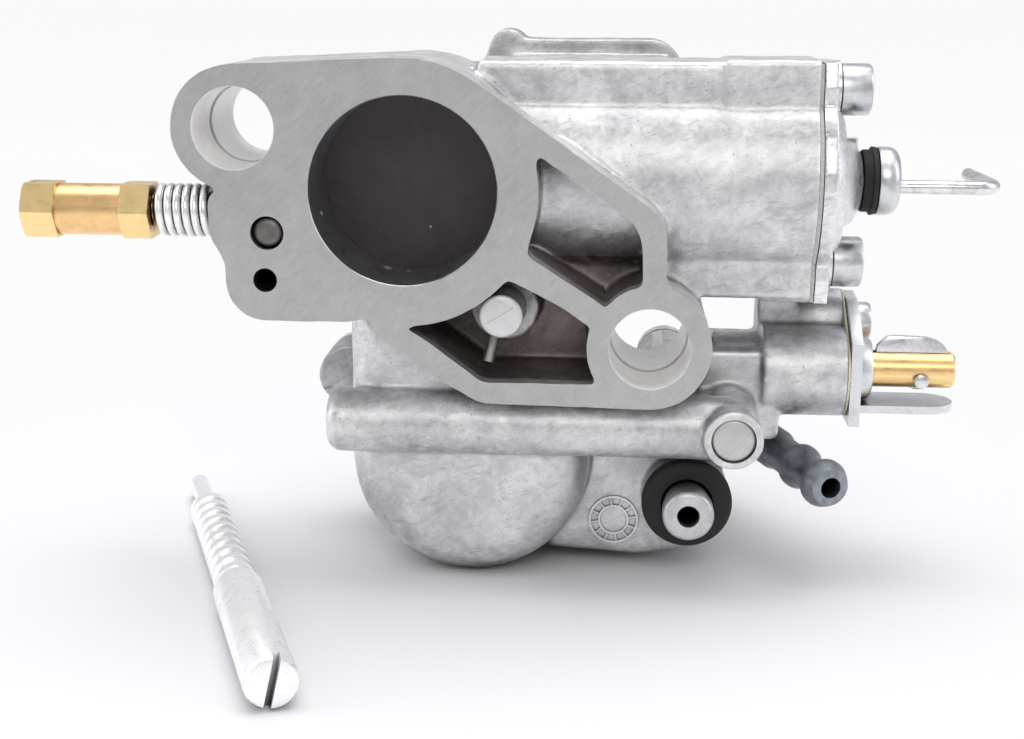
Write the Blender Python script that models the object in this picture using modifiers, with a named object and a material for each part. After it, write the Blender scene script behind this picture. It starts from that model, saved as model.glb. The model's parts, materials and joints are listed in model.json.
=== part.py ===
"""Horizontal-slide scooter carburettor, 24 mm bore.

Row frame: origin on the engine flange face, 14.3 mm straight below the bore's
centre line; +X towards the throttle-slide cover, +Y from the engine flange
towards the air-filter seat, +Z up while the carburettor stands on its float bowl.
Left and right are as seen from the engine: left is -X, right is +X.

Lengths are in millimetres from the bore's centre and are multiplied by MM when
meshes are made. The last step lifts everything by RISE into the row frame.
"""
import bpy
import bmesh
from math import sin, cos, pi, radians
from mathutils import Vector, Matrix

MM = 0.001
RISE = 14.3                        # bore centre above the row origin

TO_COVER = (1, 0, 0)               # directions used for turned parts
TO_FILTER = (0, 1, 0)
TO_ENGINE = (0, -1, 0)

# ------------------------------------------------------------ driving sizes
# A feature that runs along Y is placed by (x, z), one that runs along X by (y, z).

# bore and flange
BORE = (0, 0)
BORE_R = 12.0
RING_R = 16.6                      # outside of the bore ring
FLANGE_T = 7.0
FLANGE_CLEAR_Y = -1.0              # flange cutters start here, clear of the face
SEAT_Y = 41.0                      # air-filter seat face
SEAT_CLEAR_Y = SEAT_Y + 1          # seat cutters end here, clear of the face
POCKET_Y = 11.2                    # floor of the three-sided pocket
LOWER_POCKET_Y = 14.0              # floor of the pocket under the bore ring

# mounting lugs
LUG_LEFT = (-21.4, 7.7)
LUG_RIGHT = (31.65, -19.75)
LUG_R = 7.95
LUG_LEN = 22.0
BOLT_MOUTH_R = 5.25                # bolt hole at the flange face
BOLT_R = 5.0
BOLT_STEP_Y = 9.8                  # where the hole narrows
BOLT_CLEAR = 5.6                   # room for the bolt heads behind the lugs

# slide chamber and throttle rod
SLIDE_Y = 12.9                     # flat engine side of the slide chamber
CHAMBER_R = 13.0
CHAMBER_X0, CHAMBER_X1 = -13.2, 52.8
CHAMBER_SHELL = (20, 0)            # centre of the round outer shell
SLIDE_CLEAR = 0.1
SLIDE_X0, SLIDE_X1 = -12.9, 24.0
ROD = ROD_Y, ROD_Z = 19.0, -0.9
ROD_R = 0.95
ROD_SEAL = (ROD_Y, -0.1)           # seal and cap sit a little above the rod
COVER_SCREW_Y, COVER_SCREW_Z = 22.5, 11.8
COVER_SCREW_TOP = (COVER_SCREW_Y, COVER_SCREW_Z)
COVER_SCREW_BOTTOM = (COVER_SCREW_Y, -COVER_SCREW_Z)
COVER_SCREWS = (COVER_SCREW_TOP, COVER_SCREW_BOTTOM)

# adjusting screws
MIX = MIX_Y, MIX_Z = 6.0, -3.6
IDLE = IDLE_X, IDLE_Z = 19.5, 6.0
MIX_PLUG = (-17.4, -5.5)

# float bowl and its cover
BOWL = BOWL_X, BOWL_Z = 7.6, -38.3
BOWL_R = 16.5
BOWL_WALL = 2.4
BOWL_INNER_R = BOWL_R - BOWL_WALL
BOWL_Y0, BOWL_Y1 = 8.0, 35.6
FLOAT_COVER_Y0 = BOWL_Y1 + 0.7
FLOAT_COVER_Y1 = BOWL_Y1 + 3.4
EAR_LEFT = (-12.0, -31.0)
EAR_RIGHT = (34.6, -29.0)
EARS = (EAR_LEFT, EAR_RIGHT)
EAR_LEFT_R, EAR_RIGHT_R = 4.4, 4.2
HINGE = HINGE_Y, HINGE_Z = 33.2, -29.8
HINGE_HOLE_R = 0.85
NEEDLE = NEEDLE_X, NEEDLE_Z = 7.6, -34.8
BANJO = BANJO_X, BANJO_Z = 35.5, -39.5

# jet wells
MAIN_WELL = MAIN_X, MAIN_Z = 12.5, -16.0
PILOT_WELL = (1.0, -18.7)
STARTER_WELL = (23.5, -15.0)

# oil rail
RAIL = RAIL_Y, RAIL_Z = 7.6, -32.0
RAIL_R = 4.3
RAIL_ROUND = 1.6                   # rounding of the rail's left end
BOSS = (42.9, -32.1)               # gallery plug boss
STUB = (37.5, -43.7)               # oil stub

# starter
PLUNGE = PLUNGE_Y, PLUNGE_Z = 21.0, -26.6
STARTER_SHELL = (PLUNGE_Y, -27.0)
BRACKET_SCREW = (27.0, -21.2)
LEVER_PIN = LEVER_PIN_X, LEVER_PIN_Z = 69.6, PLUNGE_Z - 1.1
LEVER_HOLE_R = 0.72

# ------------------------------------------------------------ start clean
for old_object in list(bpy.data.objects):
    bpy.data.objects.remove(old_object, do_unlink=True)

PARTS = bpy.data.collections.new("carburetor")
CUTTERS = bpy.data.collections.new("cutters")      # holds solids being shaped
bpy.context.scene.collection.children.link(PARTS)
bpy.context.scene.collection.children.link(CUTTERS)


# ------------------------------------------------------------ materials
def material(name, rgb, roughness, metallic):
    mat = bpy.data.materials.new(name)
    mat.use_nodes = True
    shader = mat.node_tree.nodes["Principled BSDF"]
    shader.inputs["Base Color"].default_value = (*rgb, 1.0)
    shader.inputs["Roughness"].default_value = roughness
    shader.inputs["Metallic"].default_value = metallic
    mat.diffuse_color = (*rgb, 1.0)
    return mat


CAST = material("cast_alloy", rgb=(0.62, 0.63, 0.64), roughness=0.45, metallic=0.9)
COVER_ALLOY = material("cover_alloy", rgb=(0.66, 0.67, 0.68), roughness=0.4, metallic=0.9)
BRASS = material("brass", rgb=(0.80, 0.56, 0.22), roughness=0.3, metallic=1.0)
STEEL = material("bright_steel", rgb=(0.72, 0.73, 0.74), roughness=0.28, metallic=1.0)
DARK_SLIDE = material("dark_slide", rgb=(0.06, 0.05, 0.05), roughness=0.5, metallic=0.6)
ZINC = material("zinc_plate", rgb=(0.76, 0.78, 0.80), roughness=0.25, metallic=1.0)
GREY_ZINC = material("grey_zinc", rgb=(0.22, 0.24, 0.26), roughness=0.45, metallic=0.9)
RUBBER = material("black_rubber", rgb=(0.02, 0.02, 0.022), roughness=0.65, metallic=0.0)
PAPER = material("gasket_paper", rgb=(0.20, 0.26, 0.22), roughness=0.8, metallic=0.0)
FLOAT_PLASTIC = material("float_plastic", rgb=(0.85, 0.83, 0.76), roughness=0.5, metallic=0.0)
MESH_PLASTIC = material("filter_plastic", rgb=(0.80, 0.80, 0.74), roughness=0.6, metallic=0.0)


# ------------------------------------------------------------ solids
def on_x(centre, x):
    """Point at x on a line along X placed by centre (y, z)."""
    return (x, centre[0], centre[1])


def on_y(centre, y):
    """Point at y on a line along Y placed by centre (x, z)."""
    return (centre[0], y, centre[1])


def add_solid(bm):
    """Turn a bmesh into an object with its normals facing out."""
    bmesh.ops.recalc_face_normals(bm, faces=bm.faces[:])
    if bm.calc_volume(signed=True) < 0:
        bmesh.ops.reverse_faces(bm, faces=bm.faces[:])
    mesh = bpy.data.meshes.new("tool")
    bm.to_mesh(mesh)
    bm.free()
    ob = bpy.data.objects.new("tool", mesh)
    CUTTERS.objects.link(ob)
    return ob


def evaluated_mesh(ob):
    depsgraph = bpy.context.evaluated_depsgraph_get()
    return bpy.data.meshes.new_from_object(ob.evaluated_get(depsgraph))


def solid_from(data, placement, merge_dist, modify=None):
    """Solid from curve or mesh data, with modify() adding modifiers first."""
    source = bpy.data.objects.new("source", data)
    CUTTERS.objects.link(source)
    if modify:
        modify(source)
    mesh = evaluated_mesh(source)
    bpy.data.objects.remove(source)
    bm = bmesh.new()
    bm.from_mesh(mesh)
    bmesh.ops.remove_doubles(bm, verts=bm.verts[:], dist=merge_dist)
    bm.transform(placement)
    return add_solid(bm)


def rod(start, end, radius, sides=32, end_radius=None, turn=0.0):
    """Solid cylinder or cone from start to end."""
    start, end = Vector(start) * MM, Vector(end) * MM
    if end_radius is None:
        end_radius = radius
    bm = bmesh.new()
    bmesh.ops.create_cone(bm, cap_ends=True, cap_tris=False, segments=sides,
                          radius1=radius * MM, radius2=end_radius * MM,
                          depth=(end - start).length)
    aim = (end - start).to_track_quat('Z', 'Y').to_matrix().to_4x4()
    bm.transform(Matrix.Translation((start + end) / 2) @ aim @ Matrix.Rotation(turn, 4, 'Z'))
    return add_solid(bm)


def rod_x(centre, x0, x1, radius, sides=32, **shape):
    return rod(on_x(centre, x0), on_x(centre, x1), radius, sides, **shape)


def rod_y(centre, y0, y1, radius, sides=32, **shape):
    return rod(on_y(centre, y0), on_y(centre, y1), radius, sides, **shape)


def block(centre, size, bevel=0.0, bevel_steps=2, turn=0.0):
    """Box by centre and size, turned about Z, with optional bevelled edges."""
    bm = bmesh.new()
    bmesh.ops.create_cube(bm, size=1.0)
    bm.transform(Matrix.Translation([c * MM for c in centre]) @ Matrix.Rotation(turn, 4, 'Z')
                 @ Matrix.Diagonal((*[s * MM for s in size], 1.0)))
    if bevel > 0:
        bmesh.ops.bevel(bm, geom=bm.edges[:], offset=bevel * MM, segments=bevel_steps,
                        profile=0.5, affect='EDGES')
    return add_solid(bm)


def box(low, high, bevel=0.0, bevel_steps=2):
    """Box between two opposite corners."""
    centre = [(high[i] + low[i]) / 2 for i in range(3)]
    size = [high[i] - low[i] for i in range(3)]
    return block(centre, size, bevel, bevel_steps)


def arc(centre, radius, start, end, steps):
    """Outline points on an arc, angles in degrees."""
    angles = [radians(start + (end - start) * i / steps) for i in range(steps + 1)]
    return [(centre[0] + radius * cos(a), centre[1] + radius * sin(a)) for a in angles]


def inset(points, distance):
    """Move a closed outline inwards along its corner normals."""
    n = len(points)
    area = sum(points[i][0] * points[(i + 1) % n][1] - points[(i + 1) % n][0] * points[i][1]
               for i in range(n))
    side = 1.0 if area > 0 else -1.0
    moved = []
    for i in range(n):
        before, here, after = (Vector(points[k]) for k in (i - 1, i, (i + 1) % n))
        edge_in, edge_out = (here - before).normalized(), (after - here).normalized()
        normal_in = Vector((-edge_in.y, edge_in.x)) * side
        normal_out = Vector((-edge_out.y, edge_out.x)) * side
        mitre = max(0.5, 1.0 + normal_in.dot(normal_out))
        moved.append(tuple(here + (normal_in + normal_out) * (distance / mitre)))
    return moved


def plate(points, start, end, axis='Y'):
    """Flat outline extruded from start to end along an axis.
    The outline is (y, z) for X, (x, z) for Y and (x, y) for Z."""
    curve = bpy.data.curves.new("outline", 'CURVE')
    curve.dimensions = '2D'
    curve.fill_mode = 'BOTH'
    curve.extrude = abs(end - start) / 2 * MM
    spline = curve.splines.new('POLY')
    spline.points.add(len(points) - 1)
    for target, (u, v) in zip(spline.points, points):
        target.co = (u * MM, v * MM, 0.0, 1.0)
    spline.use_cyclic_u = True
    middle = (start + end) / 2 * MM
    if axis == 'X':
        placement = Matrix(((0, 0, 1, middle), (1, 0, 0, 0), (0, 1, 0, 0), (0, 0, 0, 1)))
    elif axis == 'Y':
        placement = Matrix.Translation((0, middle, 0)) @ Matrix.Rotation(pi / 2, 4, 'X')
    else:
        placement = Matrix.Translation((0, 0, middle))
    return solid_from(curve, placement, merge_dist=1e-6)


def soft_plate(points, y0, y1, radius, steps=2):
    """Plate (outline in x, z) whose edge at y0 is rounded."""
    rows = []
    for i in range(steps + 1):
        angle = pi / 2 * i / steps
        rows.append((inset(points, radius * (1 - sin(angle))), y0 + radius * (1 - cos(angle))))
    rows.append((points, y1))
    bm = bmesh.new()
    loops = [[bm.verts.new((x * MM, y * MM, z * MM)) for x, z in outline] for outline, y in rows]
    n = len(points)
    for near, far in zip(loops, loops[1:]):
        for i in range(n):
            k = (i + 1) % n
            bm.faces.new((near[i], near[k], far[k], far[i]))
    bm.faces.new(list(reversed(loops[0])))
    bm.faces.new(loops[-1])
    return add_solid(bm)


def turned(profile, origin, direction, sides=32):
    """Turned shape: (radius, height) profile run from the top down the outer
    side, spun about the given direction. A profile off the axis is closed."""
    n = len(profile)
    edges = [(i, i + 1) for i in range(n - 1)]
    if profile[0][0] > 1e-6 or profile[-1][0] > 1e-6:
        edges.append((n - 1, 0))
    mesh = bpy.data.meshes.new("profile")
    mesh.from_pydata([(r * MM, 0.0, h * MM) for r, h in profile], edges, [])

    def spin(source):
        screw = source.modifiers.new("turn", 'SCREW')
        screw.steps = screw.render_steps = sides
        screw.use_merge_vertices = True
        screw.merge_threshold = 1e-6

    aim = Vector(direction).to_track_quat('Z', 'Y').to_matrix().to_4x4()
    placement = Matrix.Translation(Vector(origin) * MM) @ aim
    return solid_from(mesh, placement, merge_dist=1e-7, modify=spin)


def wire(points, radius, bevel_resolution=2):
    """Round wire along points."""
    curve = bpy.data.curves.new("wire", 'CURVE')
    curve.dimensions = '3D'
    curve.bevel_depth = radius * MM
    curve.bevel_resolution = bevel_resolution
    curve.use_fill_caps = True
    spline = curve.splines.new('POLY')
    spline.points.add(len(points) - 1)
    for target, (x, y, z) in zip(spline.points, points):
        target.co = (x * MM, y * MM, z * MM, 1.0)
    return solid_from(curve, Matrix.Identity(4), merge_dist=1e-6)


# ------------------------------------------------------------ shaping
def boolean(target, tools, operation):
    """Apply the tools one after another and remove them."""
    for tool in tools:
        modifier = target.modifiers.new("b", 'BOOLEAN')
        modifier.operation = operation
        modifier.solver = 'EXACT'
        modifier.object = tool
        mesh = evaluated_mesh(target)
        target.modifiers.clear()
        old_mesh = target.data
        target.data = mesh
        bpy.data.meshes.remove(old_mesh)
        bpy.data.objects.remove(tool)


def join(target, *tools):
    boolean(target, tools, 'UNION')


def cut(target, *tools):
    boolean(target, tools, 'DIFFERENCE')


def finish(ob, name, mat, origin=None, angle=35):
    """Name the piece, give it its material, origin and smooth shading."""
    ob.name = name
    ob.data.name = name
    CUTTERS.objects.unlink(ob)
    PARTS.objects.link(ob)
    bm = bmesh.new()
    bm.from_mesh(ob.data)
    bmesh.ops.dissolve_degenerate(bm, edges=bm.edges[:], dist=5e-7)
    # the cleaned mesh is only taken if it is still closed
    if all(len(edge.link_faces) == 2 for edge in bm.edges):
        bm.to_mesh(ob.data)
    bm.free()
    ob.data.materials.append(mat)
    ob.data.shade_smooth()
    ob.data.set_sharp_from_angle(angle=radians(angle))
    if origin is not None:
        offset = Vector(origin) * MM
        ob.data.transform(Matrix.Translation(-offset))
        ob.location = offset


# ------------------------------------------------------------ repeated parts
def build_spring(name, start, end, radius, wire_r, turns, per_turn, end_turns=0.75):
    """Compression spring from start to end with closed ends."""
    start, end = Vector(start), Vector(end)
    aim = (end - start).to_track_quat('Z', 'Y')
    low, high = wire_r, (end - start).length - wire_r
    pitch = 2.05 * wire_r              # of the closed end turns
    open_low = low + pitch * end_turns
    open_high = high - pitch * end_turns
    count = int(turns * per_turn)
    points = []
    for i in range(count + 1):
        turn = i / count * turns
        if turn < end_turns:
            height = low + pitch * turn
        elif turn > turns - end_turns:
            height = high - pitch * (turns - turn)
        else:
            part = (turn - end_turns) / (turns - 2 * end_turns)
            height = open_low + (open_high - open_low) * part
        angle = 2 * pi * turn
        points.append(start + aim @ Vector((radius * cos(angle), radius * sin(angle), height)))
    finish(wire(points, wire_r, bevel_resolution=0), name, STEEL, angle=60)


def build_cap_screw(name, seat, direction, head_r, head_h, shank_r, shank_len, socket_r):
    """Cylinder-head screw with a hexagon socket; seat is the underside of its head."""
    edge, tip = 0.45, 0.6              # chamfers of head and shank
    screw = turned([(0, head_h), (head_r - edge, head_h), (head_r, head_h - edge), (head_r, 0),
                    (shank_r, 0), (shank_r, -shank_len + tip), (shank_r - tip, -shank_len),
                    (0, -shank_len)], seat, direction, 16)
    along = Vector(direction)
    socket_floor = Vector(seat) + along * (head_h - 2.2)
    above_head = Vector(seat) + along * (head_h + 1)
    cut(screw, rod(socket_floor, above_head, socket_r, 6))
    finish(screw, name, ZINC)


# ============================================================ outlines
def right_lug_to_corner():
    """Shared stretch of flange and frame: right lug, bottom corner, rising edge."""
    return (arc(LUG_RIGHT, LUG_R, 68, -88, 14) + arc((11.2, -22.0), 5.3, -90, -128, 4)
            + [(3.2, -23.4), (0.7, -21.4), (-1.9, -19.6)])


def flange_outline():
    """Engine flange face (x, z), clockwise seen from the engine."""
    points = arc(LUG_LEFT, LUG_R, 260, 95, 14)
    points += [(-13.5, 16.05), (-5.0, 16.5)]
    points += arc(BORE, RING_R, 92, 55.6, 4)                       # top of ring
    points += arc((29.0, -5.5), 4.5, 55.6, 0, 4)                   # right shoulder
    points += [(33.5, -11.2), (34.1, -12.15)]
    points += right_lug_to_corner()
    points += arc((-7.6, -11.9), 5.0, -56, -90, 4)
    points += arc((-17.9, -11.9), 5.0, -90, -180, 6)               # lower left corner
    points += [(-22.9, -9.6), (-23.6, -8.0), (-24.5, -6.6), (-24.9, -5.3),
               (-24.9, -1.6), (-24.5, -0.7)]
    return points


def left_block_outline():
    """Block behind the left lug and the bore ring (x, z)."""
    points = arc(LUG_LEFT, LUG_R, 262, 95, 14)
    points += [(-13.5, 16.05), (-5.0, 16.5)]
    points += arc(BORE, RING_R, 92, -90, 22)
    points += [(-17.9, -16.7)] + arc((-17.9, -11.9), 4.9, -100, -180, 5)
    points += [(-22.8, -9.0), (-22.8, -1.0)]
    return points


def lower_frame_outline():
    """Frame between the bore and the right lug (x, z)."""
    return ([(14.0, -8.0), (29.0, -9.0), (33.5, -9.0), (33.5, -12.0)]
            + right_lug_to_corner() + [(-4.4, -17.6), (-4.4, -14.0)])


def upper_pocket_outline():
    """Three-sided pocket beside the bore ring (x, z)."""
    return ([(17.1, 4.8), (24.2, 0.2), (27.6, -2.4), (29.2, -3.6), (30.1, -5.2), (30.45, -7.2),
             (30.6, -11.65), (28.8, -12.15), (27.3, -13.05), (25.9, -14.35), (20.8, -11.1),
             (15.8, -7.8)]
            + arc(BORE, 17.2, -20, 12, 6))


def lower_pocket_outline():
    """Pocket under the bore ring, left of the right lug (x, z)."""
    points = [(13.4, -11.0), (17.4, -12.9), (21.0, -14.9), (24.1, -17.0)]
    points += arc(LUG_RIGHT, 8.1, 168, 212, 5)
    points += [(24.9, -24.5), (12.0, -24.5)]
    points += arc((11.4, -21.0), 3.6, -100, -135, 3)
    points += [(5.8, -21.3), (3.0, -19.2), (-0.2, -17.3)]
    points += arc(BORE, 17.3, -86, -44, 6)
    return points


def bowl_outline(radius, top_z, steps):
    """U shape (x, z) around the bowl's centre, flat at the top."""
    return ([(BOWL_X + radius, top_z), (BOWL_X - radius, top_z)]
            + arc(BOWL, radius, 180, 360, steps))


def d_outline(radius, flat_y, steps=16):
    """D section (y, z): flat towards the engine, round towards the filter."""
    return arc((flat_y, 0), radius, -90, 90, steps)


def chamber_end_outline(grow=0.0):
    """Slide-chamber end (y, z) with its two screw lugs."""
    lug_r = 4.0 + grow
    points = arc(CHAMBER_SHELL, 13.9 + grow, 132, 228, 10)
    points += [(10.6 - grow, -12.6), (11.4, -15.6 - grow)]
    points += arc(COVER_SCREW_BOTTOM, lug_r, -90, -15, 5)
    points += [(27.6 + grow, -6.0), (27.6 + grow, 6.0)]
    points += arc(COVER_SCREW_TOP, lug_r, 15, 90, 5)
    points += [(11.4, 15.8 + grow), (10.6 - grow, 12.8)]
    return points


def filter_seat_outline():
    """Air-filter seat (x, z): rounded plate with a small hump on its top edge."""
    corner_r = 5.0
    return (arc((-10.2, 9.2), corner_r, 180, 90, 4) + [(7.3, 14.2)]
            + arc((11.0, 16.4), 2.7, 150, 30, 4) + [(16.0, 17.7)]
            + arc((31.2, 12.8), corner_r, 90, 0, 4) + arc((31.2, -17.0), corner_r, 0, -90, 4)
            + arc((-10.2, -17.0), corner_r, -90, -180, 4))


def float_cover_outline(grow=0.0):
    """Bowl's open face (x, z) with two ears and the inlet lobe."""
    radius = BOWL_R + grow
    points = [(BOWL_X - radius, -22.8), (BOWL_X - radius, -26.6)]
    points += arc(EAR_LEFT, EAR_LEFT_R + grow, 90, 255, 7)
    points += [(BOWL_X - radius, -36.0)]
    points += arc(BOWL, radius, 180, 288, 12)
    points += [(27.0, -52.0 - grow)]
    points += arc((BANJO_X, BANJO_Z - 1.0), 6.8 + grow, -65, 70, 8)
    points += arc(EAR_RIGHT, EAR_RIGHT_R + grow, -30, 180, 9)
    points += [(25.2, -29.0 + grow), (24.1 + grow, -27.9), (24.1 + grow, -22.8)]
    return points


# ============================================================ carb body
# Each overlap of a few tenths or less keeps faces from lying in one plane.
def start_with_flange():
    body = plate(flange_outline(), 0.0, FLANGE_T)
    join(body, plate(inset(lower_frame_outline(), 0.07), 0.5, 15.3),
         plate(inset(left_block_outline(), 0.11), 0.4, LUG_LEN))
    cut(body, plate(upper_pocket_outline(), FLANGE_CLEAR_Y, POCKET_Y),
        rod_y(BORE, FLANGE_CLEAR_Y, 14, 11.0))
    join(body, rod_y(LUG_RIGHT, 0.3, LUG_LEN, LUG_R - 0.18, 28),
         rod_y(BORE, 0.5, 26, RING_R - 0.2, 36),       # ring back to the slide chamber
         rod_y(BORE, 24, 37, 14.6, 30))                # air side
    return body


def add_slide_chamber(body):
    join(body, rod_x(CHAMBER_SHELL, -10, CHAMBER_X1, 13.8, 36),
         box((8.3, 10.7, 6), (CHAMBER_X1, 22.5, 16.0), 0.8, 1),          # flat upper band
         box((31.8, 10.5, -15.0), (CHAMBER_X1, 22.5, -8.0), 0.6, 1),     # lower rib
         plate(d_outline(15.0, SLIDE_Y, 14), -12.0, CHAMBER_X1 - 0.02, 'X'),
         plate(chamber_end_outline(), 46.5, CHAMBER_X1 - 0.01, 'X'))


def add_seat_and_bowl(body):
    join(body, plate(filter_seat_outline(), 34.5, SEAT_Y),
         box((11.0, 24, -13.9), (34.5, 36, 15.5), 1.2, 1),
         # web with the jet wells between bore and bowl
         box((-5, 12, -21.8), (28, 36, -9), 0.8, 1),
         # float bowl: flat top and round bottom, closed on the engine side
         soft_plate(bowl_outline(BOWL_R, -16.0, 18), BOWL_Y0 + 0.05, BOWL_Y1, 4.5))
    # pocket under the bore ring, with the main well standing in it
    cut(body, plate(lower_pocket_outline(), FLANGE_CLEAR_Y, LOWER_POCKET_Y))
    # right-hand wing below the rail that carries the oil stub
    wing = ([(20, -28.0), (42.6, -30.0)] + arc((34.0, -44.2), 8.8, 8, -78, 6)
            + [(31.0, -53.5), (18.0, -52.6)])
    join(body, rod_y(MAIN_WELL, 7.3, 17.7, 4.6, 18),
         rod_y(EAR_LEFT, 27.5, BOWL_Y1, EAR_LEFT_R, 16),
         box((EAR_LEFT[0], 27.5, -34.5), (-4, BOWL_Y1, -27.5)),
         plate(wing, 15.5, BOWL_Y1),
         rod_y(EAR_RIGHT, 24.3, BOWL_Y1, EAR_RIGHT_R, 16),
         rod_y(STUB, 12.2, 18, 5.9, 20))


def add_oil_rail(body):
    length = 54.0
    rounded_end = [(RAIL_R - RAIL_ROUND + RAIL_ROUND * cos(radians(angle)),
                    RAIL_ROUND - RAIL_ROUND * sin(radians(angle)))
                   for angle in (0, 22, 45, 67, 90)]
    profile = [(0, length), (RAIL_R, length)] + rounded_end + [(0, 0.0)]
    join(body, turned(profile, on_x(RAIL, -11.3), TO_COVER, 18),
         box((22.3, 9.1, -34.6), (43.3, 21.3, -29.1)),
         rod_y(BOSS, 1.8, 27.3, 3.95, 24))


def add_starter_housing(body):
    join(body, box((38.4, 16.2, -36.2), (50.2, 31.2, -23.3), 0.8, 1),
         box((23.7, 20.4, -35.3), (40.4, 33.4, -27.9)),
         rod_x(STARTER_SHELL, 47.6, 59.0, 6.4, 22),
         rod_x(BRACKET_SCREW, 47.3, 58.8, 4.7, 16),
         rod_x(PLUNGE, 40.7, 48.4, 4.85, 20),
         box((47.9, 20.7, -30.7), (58.6, 29.9, -22.3)),
         # two blocks up to the slide chamber
         box((47.1, 22.9, -22.6), (52.2, 28.3, -11.7)),
         box((40.3, 23.1, -16.4), (51.9, 27.7, -10.3)),
         # small upright peg under the housing
         rod((52.6, 21, -36.4), (52.6, 21, -31), 1.1, 14))


def add_screw_bosses(body):
    join(body, rod_x(MIX, -25.0, -16.0, 4.55, 18, turn=0.05),
         rod_y(IDLE, 25.5, SEAT_Y - 0.5, 4.6, 16))


def cut_bore_and_bolt_holes(body):
    cut(body, turned([(0, SEAT_CLEAR_Y), (13.3, SEAT_CLEAR_Y), (12.9, SEAT_Y - 1), (12.3, 37.5),
                      (BORE_R, 33.5), (BORE_R, FLANGE_CLEAR_Y), (0, FLANGE_CLEAR_Y)],
                     (0, 0, 0), TO_FILTER, 40),
        plate(d_outline(CHAMBER_R, SLIDE_Y), CHAMBER_X0, CHAMBER_X1 + 1, 'X'))
    far_y = SEAT_Y + 2
    head_y = LUG_LEN + 0.7
    profile = [(0, far_y), (BOLT_CLEAR, far_y), (BOLT_CLEAR, head_y), (BOLT_R, head_y),
               (BOLT_R, BOLT_STEP_Y), (BOLT_MOUTH_R, BOLT_STEP_Y),
               (BOLT_MOUTH_R, FLANGE_CLEAR_Y), (0, FLANGE_CLEAR_Y)]
    for lug in (LUG_LEFT, LUG_RIGHT):
        cut(body, turned(profile, on_y(lug, 0), TO_FILTER, 24))


def cut_bowl_and_wells(body):
    cut(body, plate(bowl_outline(BOWL_INNER_R, -26.9, 16), BOWL_Y0 + BOWL_WALL, BOWL_Y1 + 1),
        # wells open at the filter seat
        rod_y(MAIN_WELL, 9.2, SEAT_CLEAR_Y, 3.3, 18),
        rod_y(PILOT_WELL, 22, SEAT_CLEAR_Y, 2.5, 14),
        rod_y(STARTER_WELL, 25, SEAT_CLEAR_Y, 2.6, 14),
        # drillings from the wells down to the bowl, and up to the bore
        rod((MAIN_X, 15.8, -15), (MAIN_X, 15.8, -28.5), 1.2, 8),
        rod((PILOT_WELL[0], 23.6, -18), (PILOT_WELL[0], 23.6, -28.5), 0.9, 8),
        rod((MAIN_X, 31.0, -15), (MAIN_X - 5.5, 31.0, -9.0), 1.3, 8),
        # main passage plug hole
        rod_y(MAIN_WELL, 7.0, 10.5, 2.9, 24))


def cut_screw_holes(body):
    # mixture screw: seat, thread and outlet into the bore
    cut(body, rod_x(MIX, -26, -17.0, 2.35, 16),
        rod_x(MIX, -17.5, -14.2, 1.5, 10),
        rod_x(MIX, -14.4, -11.0, 0.6, 8),
        # plug hole and a deeper hole below it in the flange face
        rod_y(MIX_PLUG, FLANGE_CLEAR_Y, 3.2, 2.16, 20),
        rod_y((-17.8, -11.6), FLANGE_CLEAR_Y, 14, 1.43, 20),
        # idle screw thread into the slide chamber
        rod_y(IDLE, 22, SEAT_CLEAR_Y, 2.75, 20),
        *[rod_x(screw, 43.0, 54, 1.85, 12) for screw in COVER_SCREWS],
        *[rod_y(ear, 28.5, 37, 1.75, 12) for ear in EARS])


def cut_oil_and_starter_holes(body):
    # plug seat, rail drilling and oil stub socket
    cut(body, rod_y(BOSS, 1.0, 15.0, 2.95, 20),
        rod_x(RAIL, -6.0, 42.0, 1.4, 8),
        rod_y(STUB, 11.0, 17.2, 3.55, 20),
        rod_y(STUB, 16.8, 19.5, 1.5, 8),
        # starter plunger bore, bracket screw and oblique passage
        rod_x(PLUNGE, 42.2, 60, 4.0, 24),
        rod_x(BRACKET_SCREW, 52.0, 60, 1.55, 14),
        rod(on_x(PLUNGE, 45.0), (30.0, 27.0, -33.0), 1.2, 8),
        # vent tube seat in the lower pocket
        rod((11.4, 6.4, -18.9), (11.1, 6.2, -20.0), 0.95, 12))


def build_body():
    body = start_with_flange()
    for step in (add_slide_chamber, add_seat_and_bowl, add_oil_rail, add_starter_housing,
                 add_screw_bosses, cut_bore_and_bolt_holes, cut_bowl_and_wells,
                 cut_screw_holes, cut_oil_and_starter_holes):
        step(body)
    finish(body, "carb_body", CAST, angle=32)


# ============================================================ slide and throttle rod
def build_slide():
    groove_half = 1.9
    slide = plate(d_outline(CHAMBER_R - SLIDE_CLEAR, SLIDE_Y + SLIDE_CLEAR),
                  SLIDE_X0, SLIDE_X1, 'X')
    # spring pocket, rod hole, then the sloping cutaway at the left end, filter side
    cut(slide, rod_x(ROD, 4.0, SLIDE_X1 + 1, 5.0, 28),
        rod_x(ROD, 0.0, 4.5, 1.1, 16),
        block((-13.5, 27.0, 0), (22, 9, 34), turn=radians(38)),
        # idle-screw groove, stopping short of the right end
        box((-9.0, 21.2, IDLE_Z - groove_half), (IDLE_X + 1.7, 27.0, IDLE_Z + groove_half)))
    finish(slide, "throttle_slide", DARK_SLIDE, origin=on_x(ROD, 0), angle=30)


def build_throttle_rod():
    """Rod along X whose right end bends towards the filter side."""
    bend_x, bend_r, bend_steps = 75.6, 2.4, 6
    points = [on_x(ROD, 0.6), on_x(ROD, bend_x)]
    for i in range(1, bend_steps + 1):
        angle = radians(90 * i / bend_steps)
        points.append((bend_x + bend_r * sin(angle), ROD_Y + bend_r * (1 - cos(angle)), ROD_Z))
    points.append((77.4, 34.5, ROD_Z))
    finish(wire(points, ROD_R), "throttle_rod", STEEL, origin=on_x(ROD, 0), angle=50)


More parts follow.
